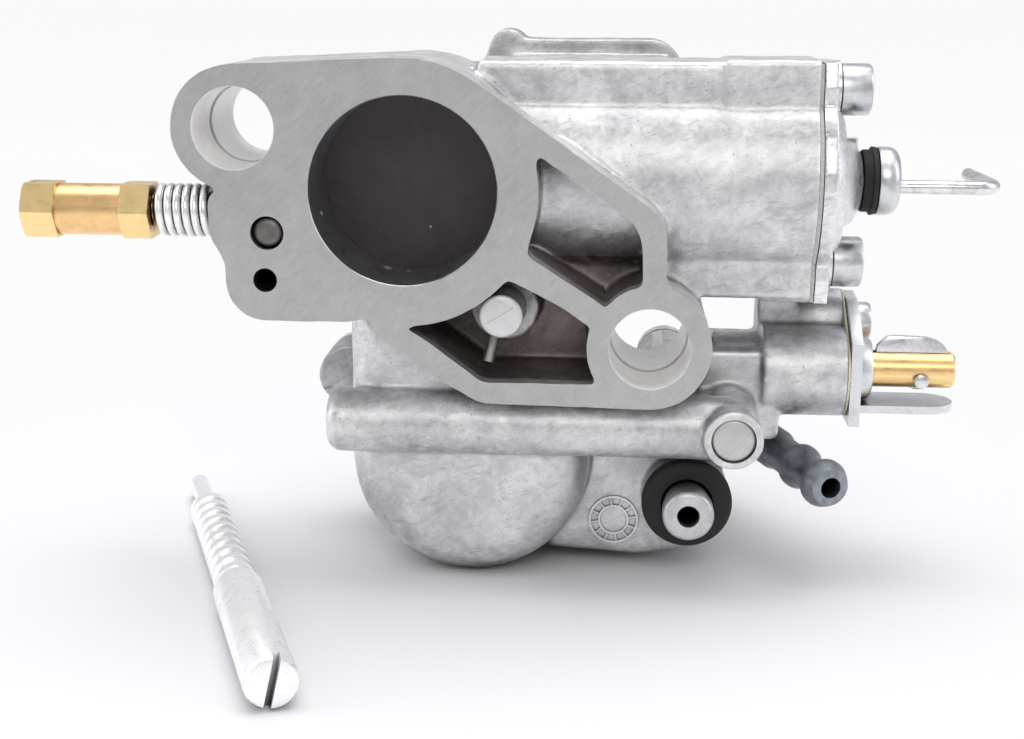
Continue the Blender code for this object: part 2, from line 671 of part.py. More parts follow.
# ============================================================ chamber end
def build_slide_cover_gasket():
    gasket = plate(chamber_end_outline(-0.12), CHAMBER_X1 + 0.04, CHAMBER_X1 + 0.56, 'X')
    cut(gasket, plate(d_outline(CHAMBER_R - 0.3, SLIDE_Y + 0.15), 50, 56, 'X'),
        *[rod_x(screw, 50, 56, 2.2, 16) for screw in COVER_SCREWS])
    finish(gasket, "slide_cover_gasket", PAPER)


def build_slide_cover():
    dome = [(0, 4.75), (2.8, 4.7), (4.8, 3.95), (6.6, 3.15), (8.3, 2.3), (9.7, 1.35),
            (10.7, 0.2), (10.7, -0.6), (0, -0.6)]
    cover = plate(chamber_end_outline(0.1), CHAMBER_X1 + 0.6, 55.2, 'X')
    join(cover, *[rod_x(screw, 54.0, 56.7, 4.0, 24) for screw in COVER_SCREWS],
         turned(dome, (55.0, 18.0, ROD_SEAL[1]), TO_COVER, 30),
         box((54.6, 24.2, -7.9), (60.2, 26.6, 7.2)))
    cut(cover, *[rod_x(screw, 50, 62, 2.15, 16) for screw in COVER_SCREWS],
        rod_x(ROD, 50, 62, 1.25, 24))
    finish(cover, "slide_cover", COVER_ALLOY)


def build_rod_seal_and_cap():
    """Two discs on the throttle rod; profile heights are x."""
    axis_start = on_x(ROD_SEAL, 0)
    seal = turned([(0, 61.75), (4.3, 61.75), (4.6, 61.4), (4.6, 60.1), (4.3, 59.8), (0, 59.8)],
                  axis_start, TO_COVER, 24)
    cut(seal, rod_x(ROD, 59, 63, 1.3, 16))
    finish(seal, "rod_seal", RUBBER)
    cap = turned([(0, 64.8), (3.4, 64.8), (4.25, 64.45), (4.6, 63.7), (4.6, 61.85), (0, 61.85)],
                 axis_start, TO_COVER, 24)
    cut(cap, rod_x(ROD, 61, 66, 1.25, 16))
    finish(cap, "rod_cap", ZINC)


def build_chamber_end():
    build_slide_cover_gasket()
    build_slide_cover()
    build_rod_seal_and_cap()
    for side, screw in zip(("top", "bottom"), COVER_SCREWS):
        build_cap_screw("slide_cover_screw_" + side, on_x(screw, 56.8), TO_COVER, head_r=3.5,
                        head_h=4.2, shank_r=1.75, shank_len=11.0, socket_r=1.6)


# ============================================================ adjusting screws
def build_mixture_screw():
    hex_r = 3.5 / cos(radians(30))     # 7 mm across flats
    slot_half = 0.45
    screw = rod_x(MIX, -50.4, -46.0, hex_r, 6, turn=pi / 6)
    join(screw, rod_x(MIX, -46.6, -36.9, 3.38, 24),
         rod_x(MIX, -37.4, -33.5, hex_r, 6, turn=pi / 6),
         rod_x(MIX, -34.0, -18.2, 2.2, 20),
         rod_x(MIX, -18.6, -14.6, 1.2, 16, end_radius=0.35))
    cut(screw, box((-51, MIX_Y - slot_half, MIX_Z - 5), (-49.2, MIX_Y + slot_half, MIX_Z + 5)))
    finish(screw, "mixture_screw", BRASS, origin=on_x(MIX, -20))


def build_idle_screw():
    tip_y, slot_half = 21.9, 0.5
    screw = turned([(0, 81.0), (2.9, 81.0), (3.3, 80.6), (3.3, 35.5), (2.55, 34.6), (2.55, 5.8),
                    (1.35, 5.0), (1.35, 0.6), (0.8, 0.0), (0, 0.0)],
                   on_y(IDLE, tip_y), TO_FILTER, 24)
    cut(screw, box((IDLE_X - slot_half, tip_y + 79.0, IDLE_Z - 4),
                   (IDLE_X + slot_half, tip_y + 82, IDLE_Z + 4)))
    finish(screw, "idle_screw", ZINC, origin=on_y(IDLE, tip_y))


# ============================================================ plugs, vent and oil stub
def build_plugs():
    finish(turned([(0, 0.0), (1.2, -0.1), (1.7, -0.35), (2.05, -0.8), (2.05, -2.4), (0, -2.4)],
                  on_y(MIX_PLUG, 0.35), TO_ENGINE, 20), "mixture_passage_plug", GREY_ZINC)
    finish(turned([(0, 0.0), (2.5, 0.0), (2.8, -0.3), (2.8, -8.3), (0, -8.3)],
                  on_y(MAIN_WELL, 0.7), TO_ENGINE, 24), "main_passage_plug", COVER_ALLOY)
    finish(turned([(0, 0.0), (2.6, 0.0), (2.85, -0.25), (2.85, -3.0), (0, -3.0)],
                  on_y(BOSS, 1.65), TO_ENGINE, 24), "oil_rail_plug", COVER_ALLOY)


def build_vent_tube():
    finish(wire([(11.35, 6.4, -19.2), (10.9, 5.5, -21.3), (10.5, 4.8, -23.0)], 0.75),
           "vent_tube", STEEL)


def build_oil_stub():
    stub = turned([(1.5, 12.4), (3.0, 12.4), (3.45, 12.0), (3.45, 9.2), (3.3, 8.8), (3.3, 6.4),
                   (3.45, 6.0), (3.45, 0.2), (1.5, 0.2)], on_y(STUB, 17.1), TO_ENGINE, 20)
    finish(stub, "oil_stub", GREY_ZINC)
    seal = turned([(3.6, 2.2), (5.5, 2.2), (6.2, 1.6), (6.2, 0.5), (5.8, 0.1), (3.6, 0.1)],
                  on_y(STUB, 12.1), TO_ENGINE, 22)
    finish(seal, "oil_stub_seal", RUBBER)


# ============================================================ jets
JET_TOP_Y = 38.6
# name, well, y of the slotted end, bore radius, sides, (radius, height) profile
JETS = (
    ("air_corrector_jet", MAIN_WELL, JET_TOP_Y, 0.75, 16,
     [(0, 0), (2.8, 0), (3.15, -0.35), (3.15, -4.2), (2.0, -4.8), (2.0, -5.6), (0, -5.6)]),
    ("main_jet", MAIN_WELL, 16.9, 0.62, 16,
     [(0, 0), (2.3, 0), (2.6, -0.3), (2.6, -3.2), (1.8, -3.5), (1.8, -6.0), (0, -6.0)]),
    ("pilot_jet", PILOT_WELL, JET_TOP_Y, 0.4, 14,
     [(0, 0), (2.1, 0), (2.35, -0.3), (2.35, -3.4), (1.6, -3.8), (1.6, -12.0), (1.1, -12.6),
      (0, -12.6)]),
    ("starter_jet", STARTER_WELL, JET_TOP_Y, 0.45, 14,
     [(0, 0), (2.2, 0), (2.45, -0.3), (2.45, -3.0), (1.6, -3.4), (1.6, -10.0), (0, -10.0)]),
)


def build_jet(name, well, top_y, bore_r, sides, profile):
    slot_width, slot_depth = 0.8, 0.9
    x, z = well
    jet = turned(profile, on_y(well, top_y), TO_FILTER, sides)
    length = -profile[-1][1]
    cut(jet, rod_y(well, top_y - length - 1, top_y + 1, bore_r, 12, turn=0.11),
        box((x - 5, top_y - slot_depth, z - slot_width / 2),
            (x + 5, top_y + 1, z + slot_width / 2)))
    finish(jet, name, BRASS)


def build_emulsion_tube():
    tube = turned([(0, 0.0), (2.6, 0.0), (2.6, -1.4), (1.9, -1.7), (1.9, -14.4), (2.4, -14.8),
                   (2.4, -15.6), (0, -15.6)], on_y(MAIN_WELL, 32.7), TO_FILTER, 14)
    cut(tube, rod_y(MAIN_WELL, 16, 33, 1.1, 12))
    first_hole_y, hole_pitch = 29.0, 4.2
    for i in range(3):
        hole = (first_hole_y - hole_pitch * i, MAIN_Z)
        cut(tube, rod_x(hole, MAIN_X - 3, MAIN_X + 3, 0.4, 6))
    finish(tube, "emulsion_tube", BRASS)


# ============================================================ float chamber
def hinge_hole():
    return rod_x(HINGE, BOWL_X - 8, BOWL_X + 8, HINGE_HOLE_R, 14)


def build_float_cover_gasket():
    gasket = plate(float_cover_outline(-0.15), BOWL_Y1 + 0.1, BOWL_Y1 + 0.6)
    cut(gasket, plate(bowl_outline(BOWL_INNER_R - 0.2, -27.1, 20), 30, 40),
        *[rod_y(ear, 30, 40, 2.1, 14) for ear in EARS])
    finish(gasket, "float_cover_gasket", PAPER)


def build_float_cover():
    inside_y, outside_y = FLOAT_COVER_Y0, FLOAT_COVER_Y1
    boss_y = outside_y + 4.0
    rib_y = outside_y + 0.4
    cover = plate(float_cover_outline(), inside_y, outside_y)
    # raised dome over the float, fuel rib from inlet to needle, and their bosses
    join(cover, turned([(0, 2.6), (9.5, 2.6), (11.6, 1.6), (12.4, 0), (12.4, -1.0), (0, -1.0)],
                       on_y(BOWL, outside_y), TO_FILTER, 26),
         rod(on_y(BANJO, rib_y), (NEEDLE_X + 1, rib_y, NEEDLE_Z), 3.0, 20),
         rod_y(NEEDLE, inside_y + 1, boss_y, 5.0, 24),
         rod_y(BANJO, inside_y + 1, boss_y, 5.6, 28))
    # hinge lugs inside
    for x in (BOWL_X - 5.6, BOWL_X + 5.6):
        join(cover, box((x - 1.1, 31.0, HINGE_Z - 2.0),
                        (x + 1.1, inside_y + 0.5, HINGE_Z + 1.8), 0.2, 1))
    # screw holes, needle-seat hole, inlet hole, fuel passage and hinge hole
    cut(cover, *[rod_y(ear, 30, 45, 2.15, 16) for ear in EARS],
        rod_y(NEEDLE, 30, outside_y + 1.0, 3.1, 20),
        rod_y(BANJO, inside_y + 1.4, 50, 3.0, 20),
        rod(on_y(BANJO, rib_y), on_y(NEEDLE, rib_y), 1.1, 10),
        hinge_hole())
    finish(cover, "float_cover", COVER_ALLOY)


def build_float():
    """Two lobes joined by an arm with the needle tab."""
    body = plate(bowl_outline(12.2, -34.0, 20), 14.6, 27.5)
    cut(body, box((BOWL_X - 3.6, 10, -47.0), (BOWL_X + 3.6, 30, -32.0), 1.0, 2))
    join(body, box((BOWL_X - 5.9, 26.1, -38.6), (BOWL_X + 5.9, 29.1, HINGE_Z - 1.7), 0.3, 1),
         box((BOWL_X - 4.0, 27.7, HINGE_Z - 2.4),
             (BOWL_X + 4.0, HINGE_Y + 1.3, HINGE_Z + 1.3), 0.3, 1))
    cut(body, hinge_hole())
    finish(body, "float", FLOAT_PLASTIC, origin=(BOWL_X, HINGE_Y, HINGE_Z))


def build_needle_valve():
    seat = turned([(1.0, 0.0), (2.95, 0.0), (2.95, -4.9), (1.0, -4.9)],
                  on_y(NEEDLE, FLOAT_COVER_Y1 + 0.9), TO_FILTER, 20)
    finish(seat, "needle_seat", BRASS)
    tip = on_y(NEEDLE, 37.7)
    needle = turned([(0, 0.0), (0.5, -0.15), (0.85, -1.4), (0.85, -5.8), (1.7, -6.3),
                     (1.7, -8.2), (0, -8.2)], tip, TO_FILTER, 16)
    finish(needle, "float_needle", STEEL, origin=tip)


def build_float_chamber():
    build_float_cover_gasket()
    build_float_cover()
    for side, ear in zip(("left", "right"), EARS):
        build_cap_screw("float_cover_screw_" + side, on_y(ear, FLOAT_COVER_Y1 + 0.1), TO_FILTER,
                        head_r=3.3, head_h=2.6, shank_r=1.6, shank_len=8.0, socket_r=1.4)
    finish(rod_x(HINGE, BOWL_X - 7.2, BOWL_X + 7.2, 0.75, 14), "float_pin", STEEL)
    build_float()
    build_needle_valve()


# ============================================================ fuel inlet
def build_inlet():
    """Banjo ring with an elbow tube that ends in a barbed hose tail."""
    cover_y = FLOAT_COVER_Y1
    centre = Vector(on_y(BANJO, cover_y + 8.3))
    tip = Vector((56.6, 8.0, -40.2))
    tail_dir = Vector((0.34, -0.94, -0.03)).normalized()
    inlet = rod_y(BANJO, cover_y + 4.9, cover_y + 11.6, 6.4, 26)
    # elbow: out to the right, then towards the engine side
    corner = tip - tail_dir * ((tip.y - (cover_y + 8.3)) / tail_dir.y)
    bend_start = Vector((corner.x - 2.4, cover_y + 8.3, centre.z))
    bend_end = corner + tail_dir * 4.6
    points = [centre + Vector((3.0, 0, 0))]
    for i in range(7):
        t = i / 6
        points.append(bend_start.lerp(corner, t).lerp(corner.lerp(bend_end, t), t))
    points.append(bend_end + tail_dir * 3.0)
    length = (tip - bend_end).length
    # radius and distance back from the tip
    barbs = [(0, 0), (2.5, 0), (3.3, 1.6), (3.35, 2.6), (2.55, 3.4), (2.55, 7.4), (3.2, 8.8),
             (3.2, 9.6), (2.55, 10.3), (2.55, 16.0), (3.0, 17.0)]
    profile = [(radius, length - back) for radius, back in barbs] + [(3.0, 1.0), (0, 1.0)]
    join(inlet, wire(points, 2.5), turned(profile, bend_end, tail_dir, 18))
    cut(inlet, rod_y(BANJO, cover_y + 4, cover_y + 13, 3.4, 20),
        rod(bend_end + tail_dir * 4.0, tip + tail_dir, 1.45, 14))
    finish(inlet, "fuel_inlet_banjo", GREY_ZINC)


def build_banjo_bolt():
    """Hollow bolt with a hexagon head and a cross drilling."""
    cover_y = FLOAT_COVER_Y1
    bolt = turned([(0, 4.8), (4.6, 4.8), (5.2, 4.3), (5.2, 0.0), (2.85, 0.0), (2.85, -12.8),
                   (2.3, -13.4), (0, -13.4)], on_y(BANJO, cover_y + 12.3), TO_FILTER, 24)
    cut(bolt, rod_y(BANJO, cover_y - 2.5, cover_y + 9.0, 1.4, 14))
    # sleeve with a hexagonal hole that trims the head
    hex_sleeve = rod_y(BANJO, cover_y + 12.8, cover_y + 18, 9.0)
    cut(hex_sleeve, rod_y(BANJO, cover_y + 12, cover_y + 19, 5.3, 6))
    cut(bolt, hex_sleeve,
        rod_x((cover_y + 7.4, BANJO_Z), BANJO_X - 4, BANJO_X + 4, 0.9, 10))
    finish(bolt, "banjo_bolt", BRASS)


def build_banjo_rings():
    # name, gap above the cover, thickness, inner radius, outer radius, sides, material
    for name, gap, thick, inner_r, outer_r, sides, mat in (
            ("banjo_washer_inner", 4.15, 0.6, 3.1, 5.3, 24, PAPER),
            ("banjo_washer_outer", 11.75, 0.5, 3.1, 5.3, 24, PAPER),
            ("fuel_filter", 6.0, 4.6, 2.95, 3.25, 20, MESH_PLASTIC)):
        ring = turned([(inner_r, thick), (outer_r, thick), (outer_r, 0.0), (inner_r, 0.0)],
                      on_y(BANJO, FLOAT_COVER_Y1 + gap), TO_FILTER, sides)
        finish(ring, name, mat)


# ============================================================ starter (choke)
def build_piston():
    y, z = PLUNGE
    slot_half = 0.75
    piston = rod_x(PLUNGE, 43.0, 46.4, 3.75, 24)
    join(piston, rod_x(PLUNGE, 46.0, 74.3, 2.55, 24))
    cut(piston, rod_x(PLUNGE, 42.0, 44.0, 2.6, 16),
        box((63.2, y - slot_half, z - 4), (75, y + slot_half, z + 4)),
        rod_y(LEVER_PIN, y - 4, y + 4, LEVER_HOLE_R, 12))
    finish(piston, "starter_piston", BRASS, origin=on_x(PLUNGE, 60))


def build_starter_gasket():
    gasket = plate(arc(STARTER_SHELL, 6.3, 145, 340, 14) + arc(BRACKET_SCREW, 4.6, -20, 130, 8),
                   59.1, 59.4, 'X')
    cut(gasket, rod_x(PLUNGE, 58, 60, 4.1, 24), rod_x(BRACKET_SCREW, 58, 60, 1.8, 14))
    finish(gasket, "starter_gasket", PAPER)


def build_starter_bracket():
    """Upright plate with a collar and a level tab standing out to the right."""
    outline = [(15.2, -33.6), (25.8, -33.6), (31.4, -24.5), (31.4, -20.2), (28.2, -16.9),
               (22.5, -17.4), (15.2, -22.0)]
    tab = [(60.2, 17.2), (70.6, 17.2)] + arc((70.6, 21.1), 3.9, -90, 90, 10) + [(60.2, 25.0)]
    tab_z, tab_half = -31.6, 0.55
    bracket = plate(outline, 59.5, 61.0, 'X')
    join(bracket, rod_x(PLUNGE, 60.6, 62.8, 4.6, 24, end_radius=4.2),
         plate(tab, tab_z - tab_half, tab_z + tab_half, 'Z'))
    cut(bracket, rod_x(PLUNGE, 58, 64, 2.7, 24), rod_x(BRACKET_SCREW, 58, 64, 1.8, 14))
    finish(bracket, "starter_bracket", ZINC)
    build_cap_screw("starter_bracket_screw", on_x(BRACKET_SCREW, 61.1), TO_COVER, head_r=2.8,
                    head_h=2.3, shank_r=1.4, shank_len=8.0, socket_r=1.3)


def build_starter_lever():
    pivot = on_y(LEVER_PIN, PLUNGE_Y)
    # outline (x, z)
    lever = plate([(63.6, -27.6), (63.5, -24.2), (64.3, -22.6), (65.9, -21.8), (70.6, -22.0),
                   (72.8, -23.0), (73.7, -24.6), (73.5, -26.0), (72.0, -27.3), (71.4, -28.6),
                   (70.4, -29.4), (69.0, -29.4), (67.8, -28.4)], PLUNGE_Y - 0.5, PLUNGE_Y + 0.5)
    cut(lever, rod_y(LEVER_PIN, 18, 24, LEVER_HOLE_R, 12))
    finish(lever, "starter_lever", ZINC, origin=pivot)
    pin = turned([(0, 3.4), (0.9, 3.4), (1.0, 3.1), (1.0, 2.7), (0.62, 2.7), (0.62, -2.7),
                  (0, -2.7)], pivot, TO_ENGINE, 14)
    finish(pin, "starter_lever_pin", STEEL)


# ============================================================ springs
def build_springs():
    # name, start, end, coil radius, wire radius, turns, points per turn
    for spring in (
            ("slide_spring", on_x(ROD, 4.3), on_x(ROD, CHAMBER_X1 + 0.2), 3.9, 0.5, 10, 7),
            ("mixture_spring", on_x(MIX, -33.3), on_x(MIX, -25.05), 3.05, 0.55, 5.5, 10),
            ("idle_spring", on_y(IDLE, SEAT_Y + 0.1), on_y(IDLE, 56.6), 3.3, 0.5, 7, 8),
            ("starter_spring", on_x(PLUNGE, 46.6), on_x(PLUNGE, 59.35), 3.15, 0.4, 6.5, 8)):
        build_spring(*spring)


def lift_into_row_frame():
    """Raise every piece; those without an origin of their own keep it at zero."""
    for ob in PARTS.objects:
        if ob.location.length > 1e-9:
            ob.location.z += RISE * MM
        else:
            ob.data.transform(Matrix.Translation((0, 0, RISE * MM)))


build_body()
build_slide()
build_throttle_rod()
build_chamber_end()
build_mixture_screw()
build_idle_screw()
build_plugs()
build_vent_tube()
build_oil_stub()
for jet_row in JETS:
    build_jet(*jet_row)
build_emulsion_tube()
build_float_chamber()
build_inlet()
build_banjo_bolt()
build_banjo_rings()
build_piston()
build_starter_gasket()
build_starter_bracket()
build_starter_lever()
build_springs()
lift_into_row_frame()
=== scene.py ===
"""Looks of a horizontal-slide scooter carburettor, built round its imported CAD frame.

Frame: origin on the engine flange face, 14.3 mm straight below the bore's
centre line; +X towards the throttle-slide cover, +Y from the engine flange to
the air-filter seat, +Z up. Lengths in the code are millimetres from the bore's
centre; RISE lifts them into the frame and MM turns them into metres. Left and
right are -X and +X, as seen from the engine side.
"""
import bpy
import bmesh
import json
import numpy as np
from math import sin, cos, pi, radians
from mathutils import Vector, Matrix, noise


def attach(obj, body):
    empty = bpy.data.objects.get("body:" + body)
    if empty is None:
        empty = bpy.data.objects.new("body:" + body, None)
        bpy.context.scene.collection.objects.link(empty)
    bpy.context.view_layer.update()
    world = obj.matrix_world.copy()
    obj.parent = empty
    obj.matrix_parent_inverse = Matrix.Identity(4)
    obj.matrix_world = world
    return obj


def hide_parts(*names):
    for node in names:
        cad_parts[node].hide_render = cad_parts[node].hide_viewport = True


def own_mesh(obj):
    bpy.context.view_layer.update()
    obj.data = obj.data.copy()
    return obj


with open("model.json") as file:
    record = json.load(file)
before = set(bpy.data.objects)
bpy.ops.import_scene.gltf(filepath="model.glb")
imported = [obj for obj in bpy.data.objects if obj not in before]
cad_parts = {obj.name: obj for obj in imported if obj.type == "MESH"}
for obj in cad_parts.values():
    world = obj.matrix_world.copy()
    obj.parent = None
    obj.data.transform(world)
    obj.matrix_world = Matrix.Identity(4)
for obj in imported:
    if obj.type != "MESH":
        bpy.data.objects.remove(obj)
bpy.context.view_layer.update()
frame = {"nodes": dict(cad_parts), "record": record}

MM = 0.001
RISE = 14.3                        # bore centre above the frame's origin

# ------------------------------------------------------------ driving sizes
# A centre is (x, z) for a part lying along Y and (y, z) for one along X.
BORE = (0, 0)
BORE_R = 12.0
RING_R = 16.6                      # outside of the bore ring
LUG_LEFT = (-21.4, 7.7)            # mounting lugs (x, z)
LUG_RIGHT = (31.65, -19.75)
LUG_R = 7.95
LUG_LEN = 22.0
BOLT_R = 5.25                      # mounting hole at the flange face
BOLT_R_REAR = 5.0                  # and further in
BOLT_CLEAR = 5.6                   # room for the bolt heads behind the lugs
FLANGE_T = 7.0

SLIDE_Y = 12.9                     # flat, engine-side wall of the slide chamber
CHAMBER_R = 13.0
SLIDE_CLEAR = 0.1
SLIDE_X0, SLIDE_X1 = -12.9, 24.0
CHAMBER_X0, CHAMBER_X1 = -13.2, 52.8
CHAMBER_RAW = CHAMBER_X1 + 0.6     # chamber end before it is faced
ROD = (19.0, -0.9)                 # throttle rod (y, z)
ROD_R = 0.95
SEAL = (ROD[0], -0.1)              # seal and cap sit a little above the rod (y, z)
COVER_SCREWS = ((22.5, 11.8), (22.5, -11.8))    # top and bottom (y, z)

BOWL = (7.6, -38.3)                # float bowl (x, z)
BOWL_R = 16.5
BOWL_LEFT, BOWL_RIGHT = BOWL[0] - BOWL_R, BOWL[0] + BOWL_R
BOWL_Y0, BOWL_Y1 = 8.0, 35.6
BOWL_RAW = BOWL_Y1 + 0.6           # bowl's open face before it is faced
BOWL_WALL = 2.4
EAR_LEFT = (-12.0, -31.0)          # float-cover ears (x, z)
EAR_RIGHT = (34.6, -29.0)
LID_Y0, LID_Y1 = BOWL_Y1 + 0.7, BOWL_Y1 + 3.4    # float cover plate
HINGE = (33.2, -29.8)              # float hinge (y, z)
NEEDLE = (7.6, -34.8)              # fuel needle (x, z)
BANJO = (35.5, -39.5)              # fuel inlet (x, z)

RAIL = (7.6, -32.0)                # oil rail (y, z)
RAIL_R = 4.3
RAIL_ROUND = 1.6                   # rounding of its end
BOSS = (42.9, -32.1)               # gallery plug boss (x, z)
STUB = (37.5, -43.7)               # oil stub (x, z)
SEAT_Y = 41.0                      # air-filter seat face
MAIN_WELL = (12.5, -16.0)          # jet wells (x, z)
PILOT_WELL = (1.0, -18.7)
STARTER_WELL = (23.5, -15.0)
WELLS = ((MAIN_WELL, 9.2, 3.3), (PILOT_WELL, 22, 2.5),    # centre, floor y, radius
         (STARTER_WELL, 25, 2.6))
POCKET_Y = 11.2                    # floor of the three-sided pocket
MIX = (6.0, -3.6)                  # mixture screw (y, z)
MIX_PLUG = (-17.4, -5.5)           # mixture passage plug (x, z)
FACE_HOLE = (-17.8, -11.6)         # small hole in the flange face (x, z)
IDLE = (19.5, 6.0)                 # idle screw (x, z)
PLUNGER = (21.0, -26.6)            # starter piston (y, z)
STARTER_BOSS = (PLUNGER[0], -27.0)  # casting round it (y, z)
STARTER_SCREW = (27.0, -21.2)      # (y, z)
LEVER_PIN = (69.6, PLUNGER[1] - 1.1)    # starter lever pin (x, z)

PIECES = bpy.data.collections.new("pieces")
CUTTERS = bpy.data.collections.new("shaping")
bpy.context.scene.collection.children.link(PIECES)
bpy.context.scene.collection.children.link(CUTTERS)


# ------------------------------------------------------------ shape helpers
def add(bm):
    """Turn a bmesh into an object with its faces pointing outwards."""
    bmesh.ops.recalc_face_normals(bm, faces=bm.faces[:])
    if bm.calc_volume(signed=True) < 0:
        bmesh.ops.reverse_faces(bm, faces=bm.faces[:])
    mesh = bpy.data.meshes.new("tool")
    bm.to_mesh(mesh)
    bm.free()
    ob = bpy.data.objects.new("tool", mesh)
    CUTTERS.objects.link(ob)
    return ob


def facing(direction):
    """Rotation that lays +Z along the direction."""
    return Vector(direction).to_track_quat('Z', 'Y').to_matrix().to_4x4()


def pose(origin, direction):
    return Matrix.Translation(Vector(origin) * MM) @ facing(direction)


def rod(start, end, radius, end_radius=None, segments=32, turn=0.0):
    """Solid cylinder or cone from start to end."""
    a, b = Vector(start) * MM, Vector(end) * MM
    bm = bmesh.new()
    bmesh.ops.create_cone(bm, cap_ends=True, cap_tris=False, segments=segments,
                          radius1=radius * MM,
                          radius2=(radius if end_radius is None else end_radius) * MM,
                          depth=(b - a).length)
    bm.transform(Matrix.Translation((a + b) / 2) @ facing(b - a) @ Matrix.Rotation(turn, 4, 'Z'))
    return add(bm)


def rod_x(centre, x0, x1, radius, segments=32, turn=0.0):
    """Cylinder along X; centre is (y, z)."""
    return rod((x0, *centre), (x1, *centre), radius, segments=segments, turn=turn)


def rod_y(centre, y0, y1, radius, segments=32, turn=0.0):
    """Cylinder along Y; centre is (x, z)."""
    x, z = centre
    return rod((x, y0, z), (x, y1, z), radius, segments=segments, turn=turn)


def box(low, high, bevel=0.0, segments=2):
    bm = bmesh.new()
    bmesh.ops.create_cube(bm, size=1.0)
    size = [(high[i] - low[i]) * MM for i in range(3)]
    middle = [(high[i] + low[i]) / 2 * MM for i in range(3)]
    bm.transform(Matrix.Translation(middle) @ Matrix.Diagonal((*size, 1.0)))
    if bevel > 0:
        bmesh.ops.bevel(bm, geom=bm.edges[:], offset=bevel * MM, segments=segments,
                        profile=0.5, affect='EDGES')
    return add(bm)


def arc(centre, radius, start, end, steps):
    """Points on an arc, angles in degrees."""
    angles = [radians(start + (end - start) * i / steps) for i in range(steps + 1)]
    return [(centre[0] + radius * cos(a), centre[1] + radius * sin(a)) for a in angles]


def inset(points, distance):
    """Move a closed outline inwards along its corner normals."""
    n = len(points)
    area = sum(points[i][0] * points[(i + 1) % n][1] - points[(i + 1) % n][0] * points[i][1]
               for i in range(n))
    sign = 1.0 if area > 0 else -1.0
    moved = []
    for i in range(n):
        a, b, c = Vector(points[i - 1]), Vector(points[i]), Vector(points[(i + 1) % n])
        edge_in, edge_out = (b - a).normalized(), (c - b).normalized()
        normal_in = Vector((-edge_in.y, edge_in.x)) * sign
        normal_out = Vector((-edge_out.y, edge_out.x)) * sign
        spread = max(0.5, 1.0 + normal_in.dot(normal_out))
        moved.append(tuple(b + (normal_in + normal_out) * (distance / spread)))
    return moved


def evaluated(ob):
    """Copy of the object's mesh with its modifiers or curve shape applied."""
    depsgraph = bpy.context.evaluated_depsgraph_get()
    return bpy.data.meshes.new_from_object(ob.evaluated_get(depsgraph))


def settle(ob, merge, matrix):
    """Replace a curve or profile object by its welded, moved solid."""
    mesh = evaluated(ob)
    bpy.data.objects.remove(ob)
    bm = bmesh.new()
    bm.from_mesh(mesh)
    bmesh.ops.remove_doubles(bm, verts=bm.verts[:], dist=merge)
    bm.transform(matrix)
    return add(bm)


def from_curve(curve, points, matrix=Matrix.Identity(4), cyclic=False):
    spline = curve.splines.new('POLY')
    spline.points.add(len(points) - 1)
    for point, place_mm in zip(spline.points, points):
        point.co = (*(v * MM for v in place_mm), 1.0)
    spline.use_cyclic_u = cyclic
    ob = bpy.data.objects.new("outline", curve)
    CUTTERS.objects.link(ob)
    return settle(ob, 1e-6, matrix)


def plate(points, start, end, axis='Y'):
    """Flat outline extruded along Y (outline in x, z) or X (outline in y, z)."""
    curve = bpy.data.curves.new("outline", 'CURVE')
    curve.dimensions = '2D'
    curve.fill_mode = 'BOTH'
    curve.extrude = abs(end - start) / 2 * MM
    middle = (start + end) / 2 * MM
    if axis == 'Y':
        matrix = Matrix.Translation((0, middle, 0)) @ Matrix.Rotation(pi / 2, 4, 'X')
    else:
        matrix = Matrix(((0, 0, 1, middle), (1, 0, 0, 0), (0, 1, 0, 0), (0, 0, 0, 1)))
    return from_curve(curve, [(a, b, 0.0) for a, b in points], matrix, cyclic=True)


def wire(points, radius, resolution=2):
    """Round wire along points."""
    curve = bpy.data.curves.new("wire", 'CURVE')
    curve.dimensions = '3D'
    curve.bevel_depth = radius * MM
    curve.bevel_resolution = resolution
    curve.use_fill_caps = True
    return from_curve(curve, points)


def stack(rings):
    """Solid skinned over rings of equal point count (points in mm)."""
    bm = bmesh.new()
    loops = [[bm.verts.new([v * MM for v in point]) for point in ring] for ring in rings]
    n = len(loops[0])
    for a, b in zip(loops, loops[1:]):
        for i in range(n):
            bm.faces.new((a[i], a[(i + 1) % n], b[(i + 1) % n], b[i]))
    bm.faces.new(list(reversed(loops[0])))
    bm.faces.new(loops[-1])
    return bm


def soft_plate(points, y0, y1, radius, steps=2):
    """Plate (outline in x, z) whose engine-side edge at y0 is rounded."""
    rows = [(inset(points, radius * (1 - sin(pi / 2 * i / steps))),
             y0 + radius * (1 - cos(pi / 2 * i / steps))) for i in range(steps + 1)]
    rows.append((points, y1))
    return add(stack([[(x, y, z) for x, z in row] for row, y in rows]))


def turned(profile, origin, direction, segments=32):
    """Turned shape: (radius, height) profile run from the top down the outer
    side, spun about the given direction."""
    mesh = bpy.data.meshes.new("profile")
    n = len(profile)
    edges = [(i, i + 1) for i in range(n - 1)]
    if profile[0][0] > 1e-6 or profile[-1][0] > 1e-6:
        edges.append((n - 1, 0))
    mesh.from_pydata([(r * MM, 0.0, h * MM) for r, h in profile], edges, [])
    ob = bpy.data.objects.new("profile", mesh)
    CUTTERS.objects.link(ob)
    spin = ob.modifiers.new("turn", 'SCREW')
    spin.steps = spin.render_steps = segments
    spin.use_merge_vertices = True
    spin.merge_threshold = 1e-6
    return settle(ob, 1e-7, pose(origin, direction))


def turned_x(profile, x, centre, segments=32):
    """Turned about +X; centre is (y, z)."""
    return turned(profile, (x, *centre), (1, 0, 0), segments)


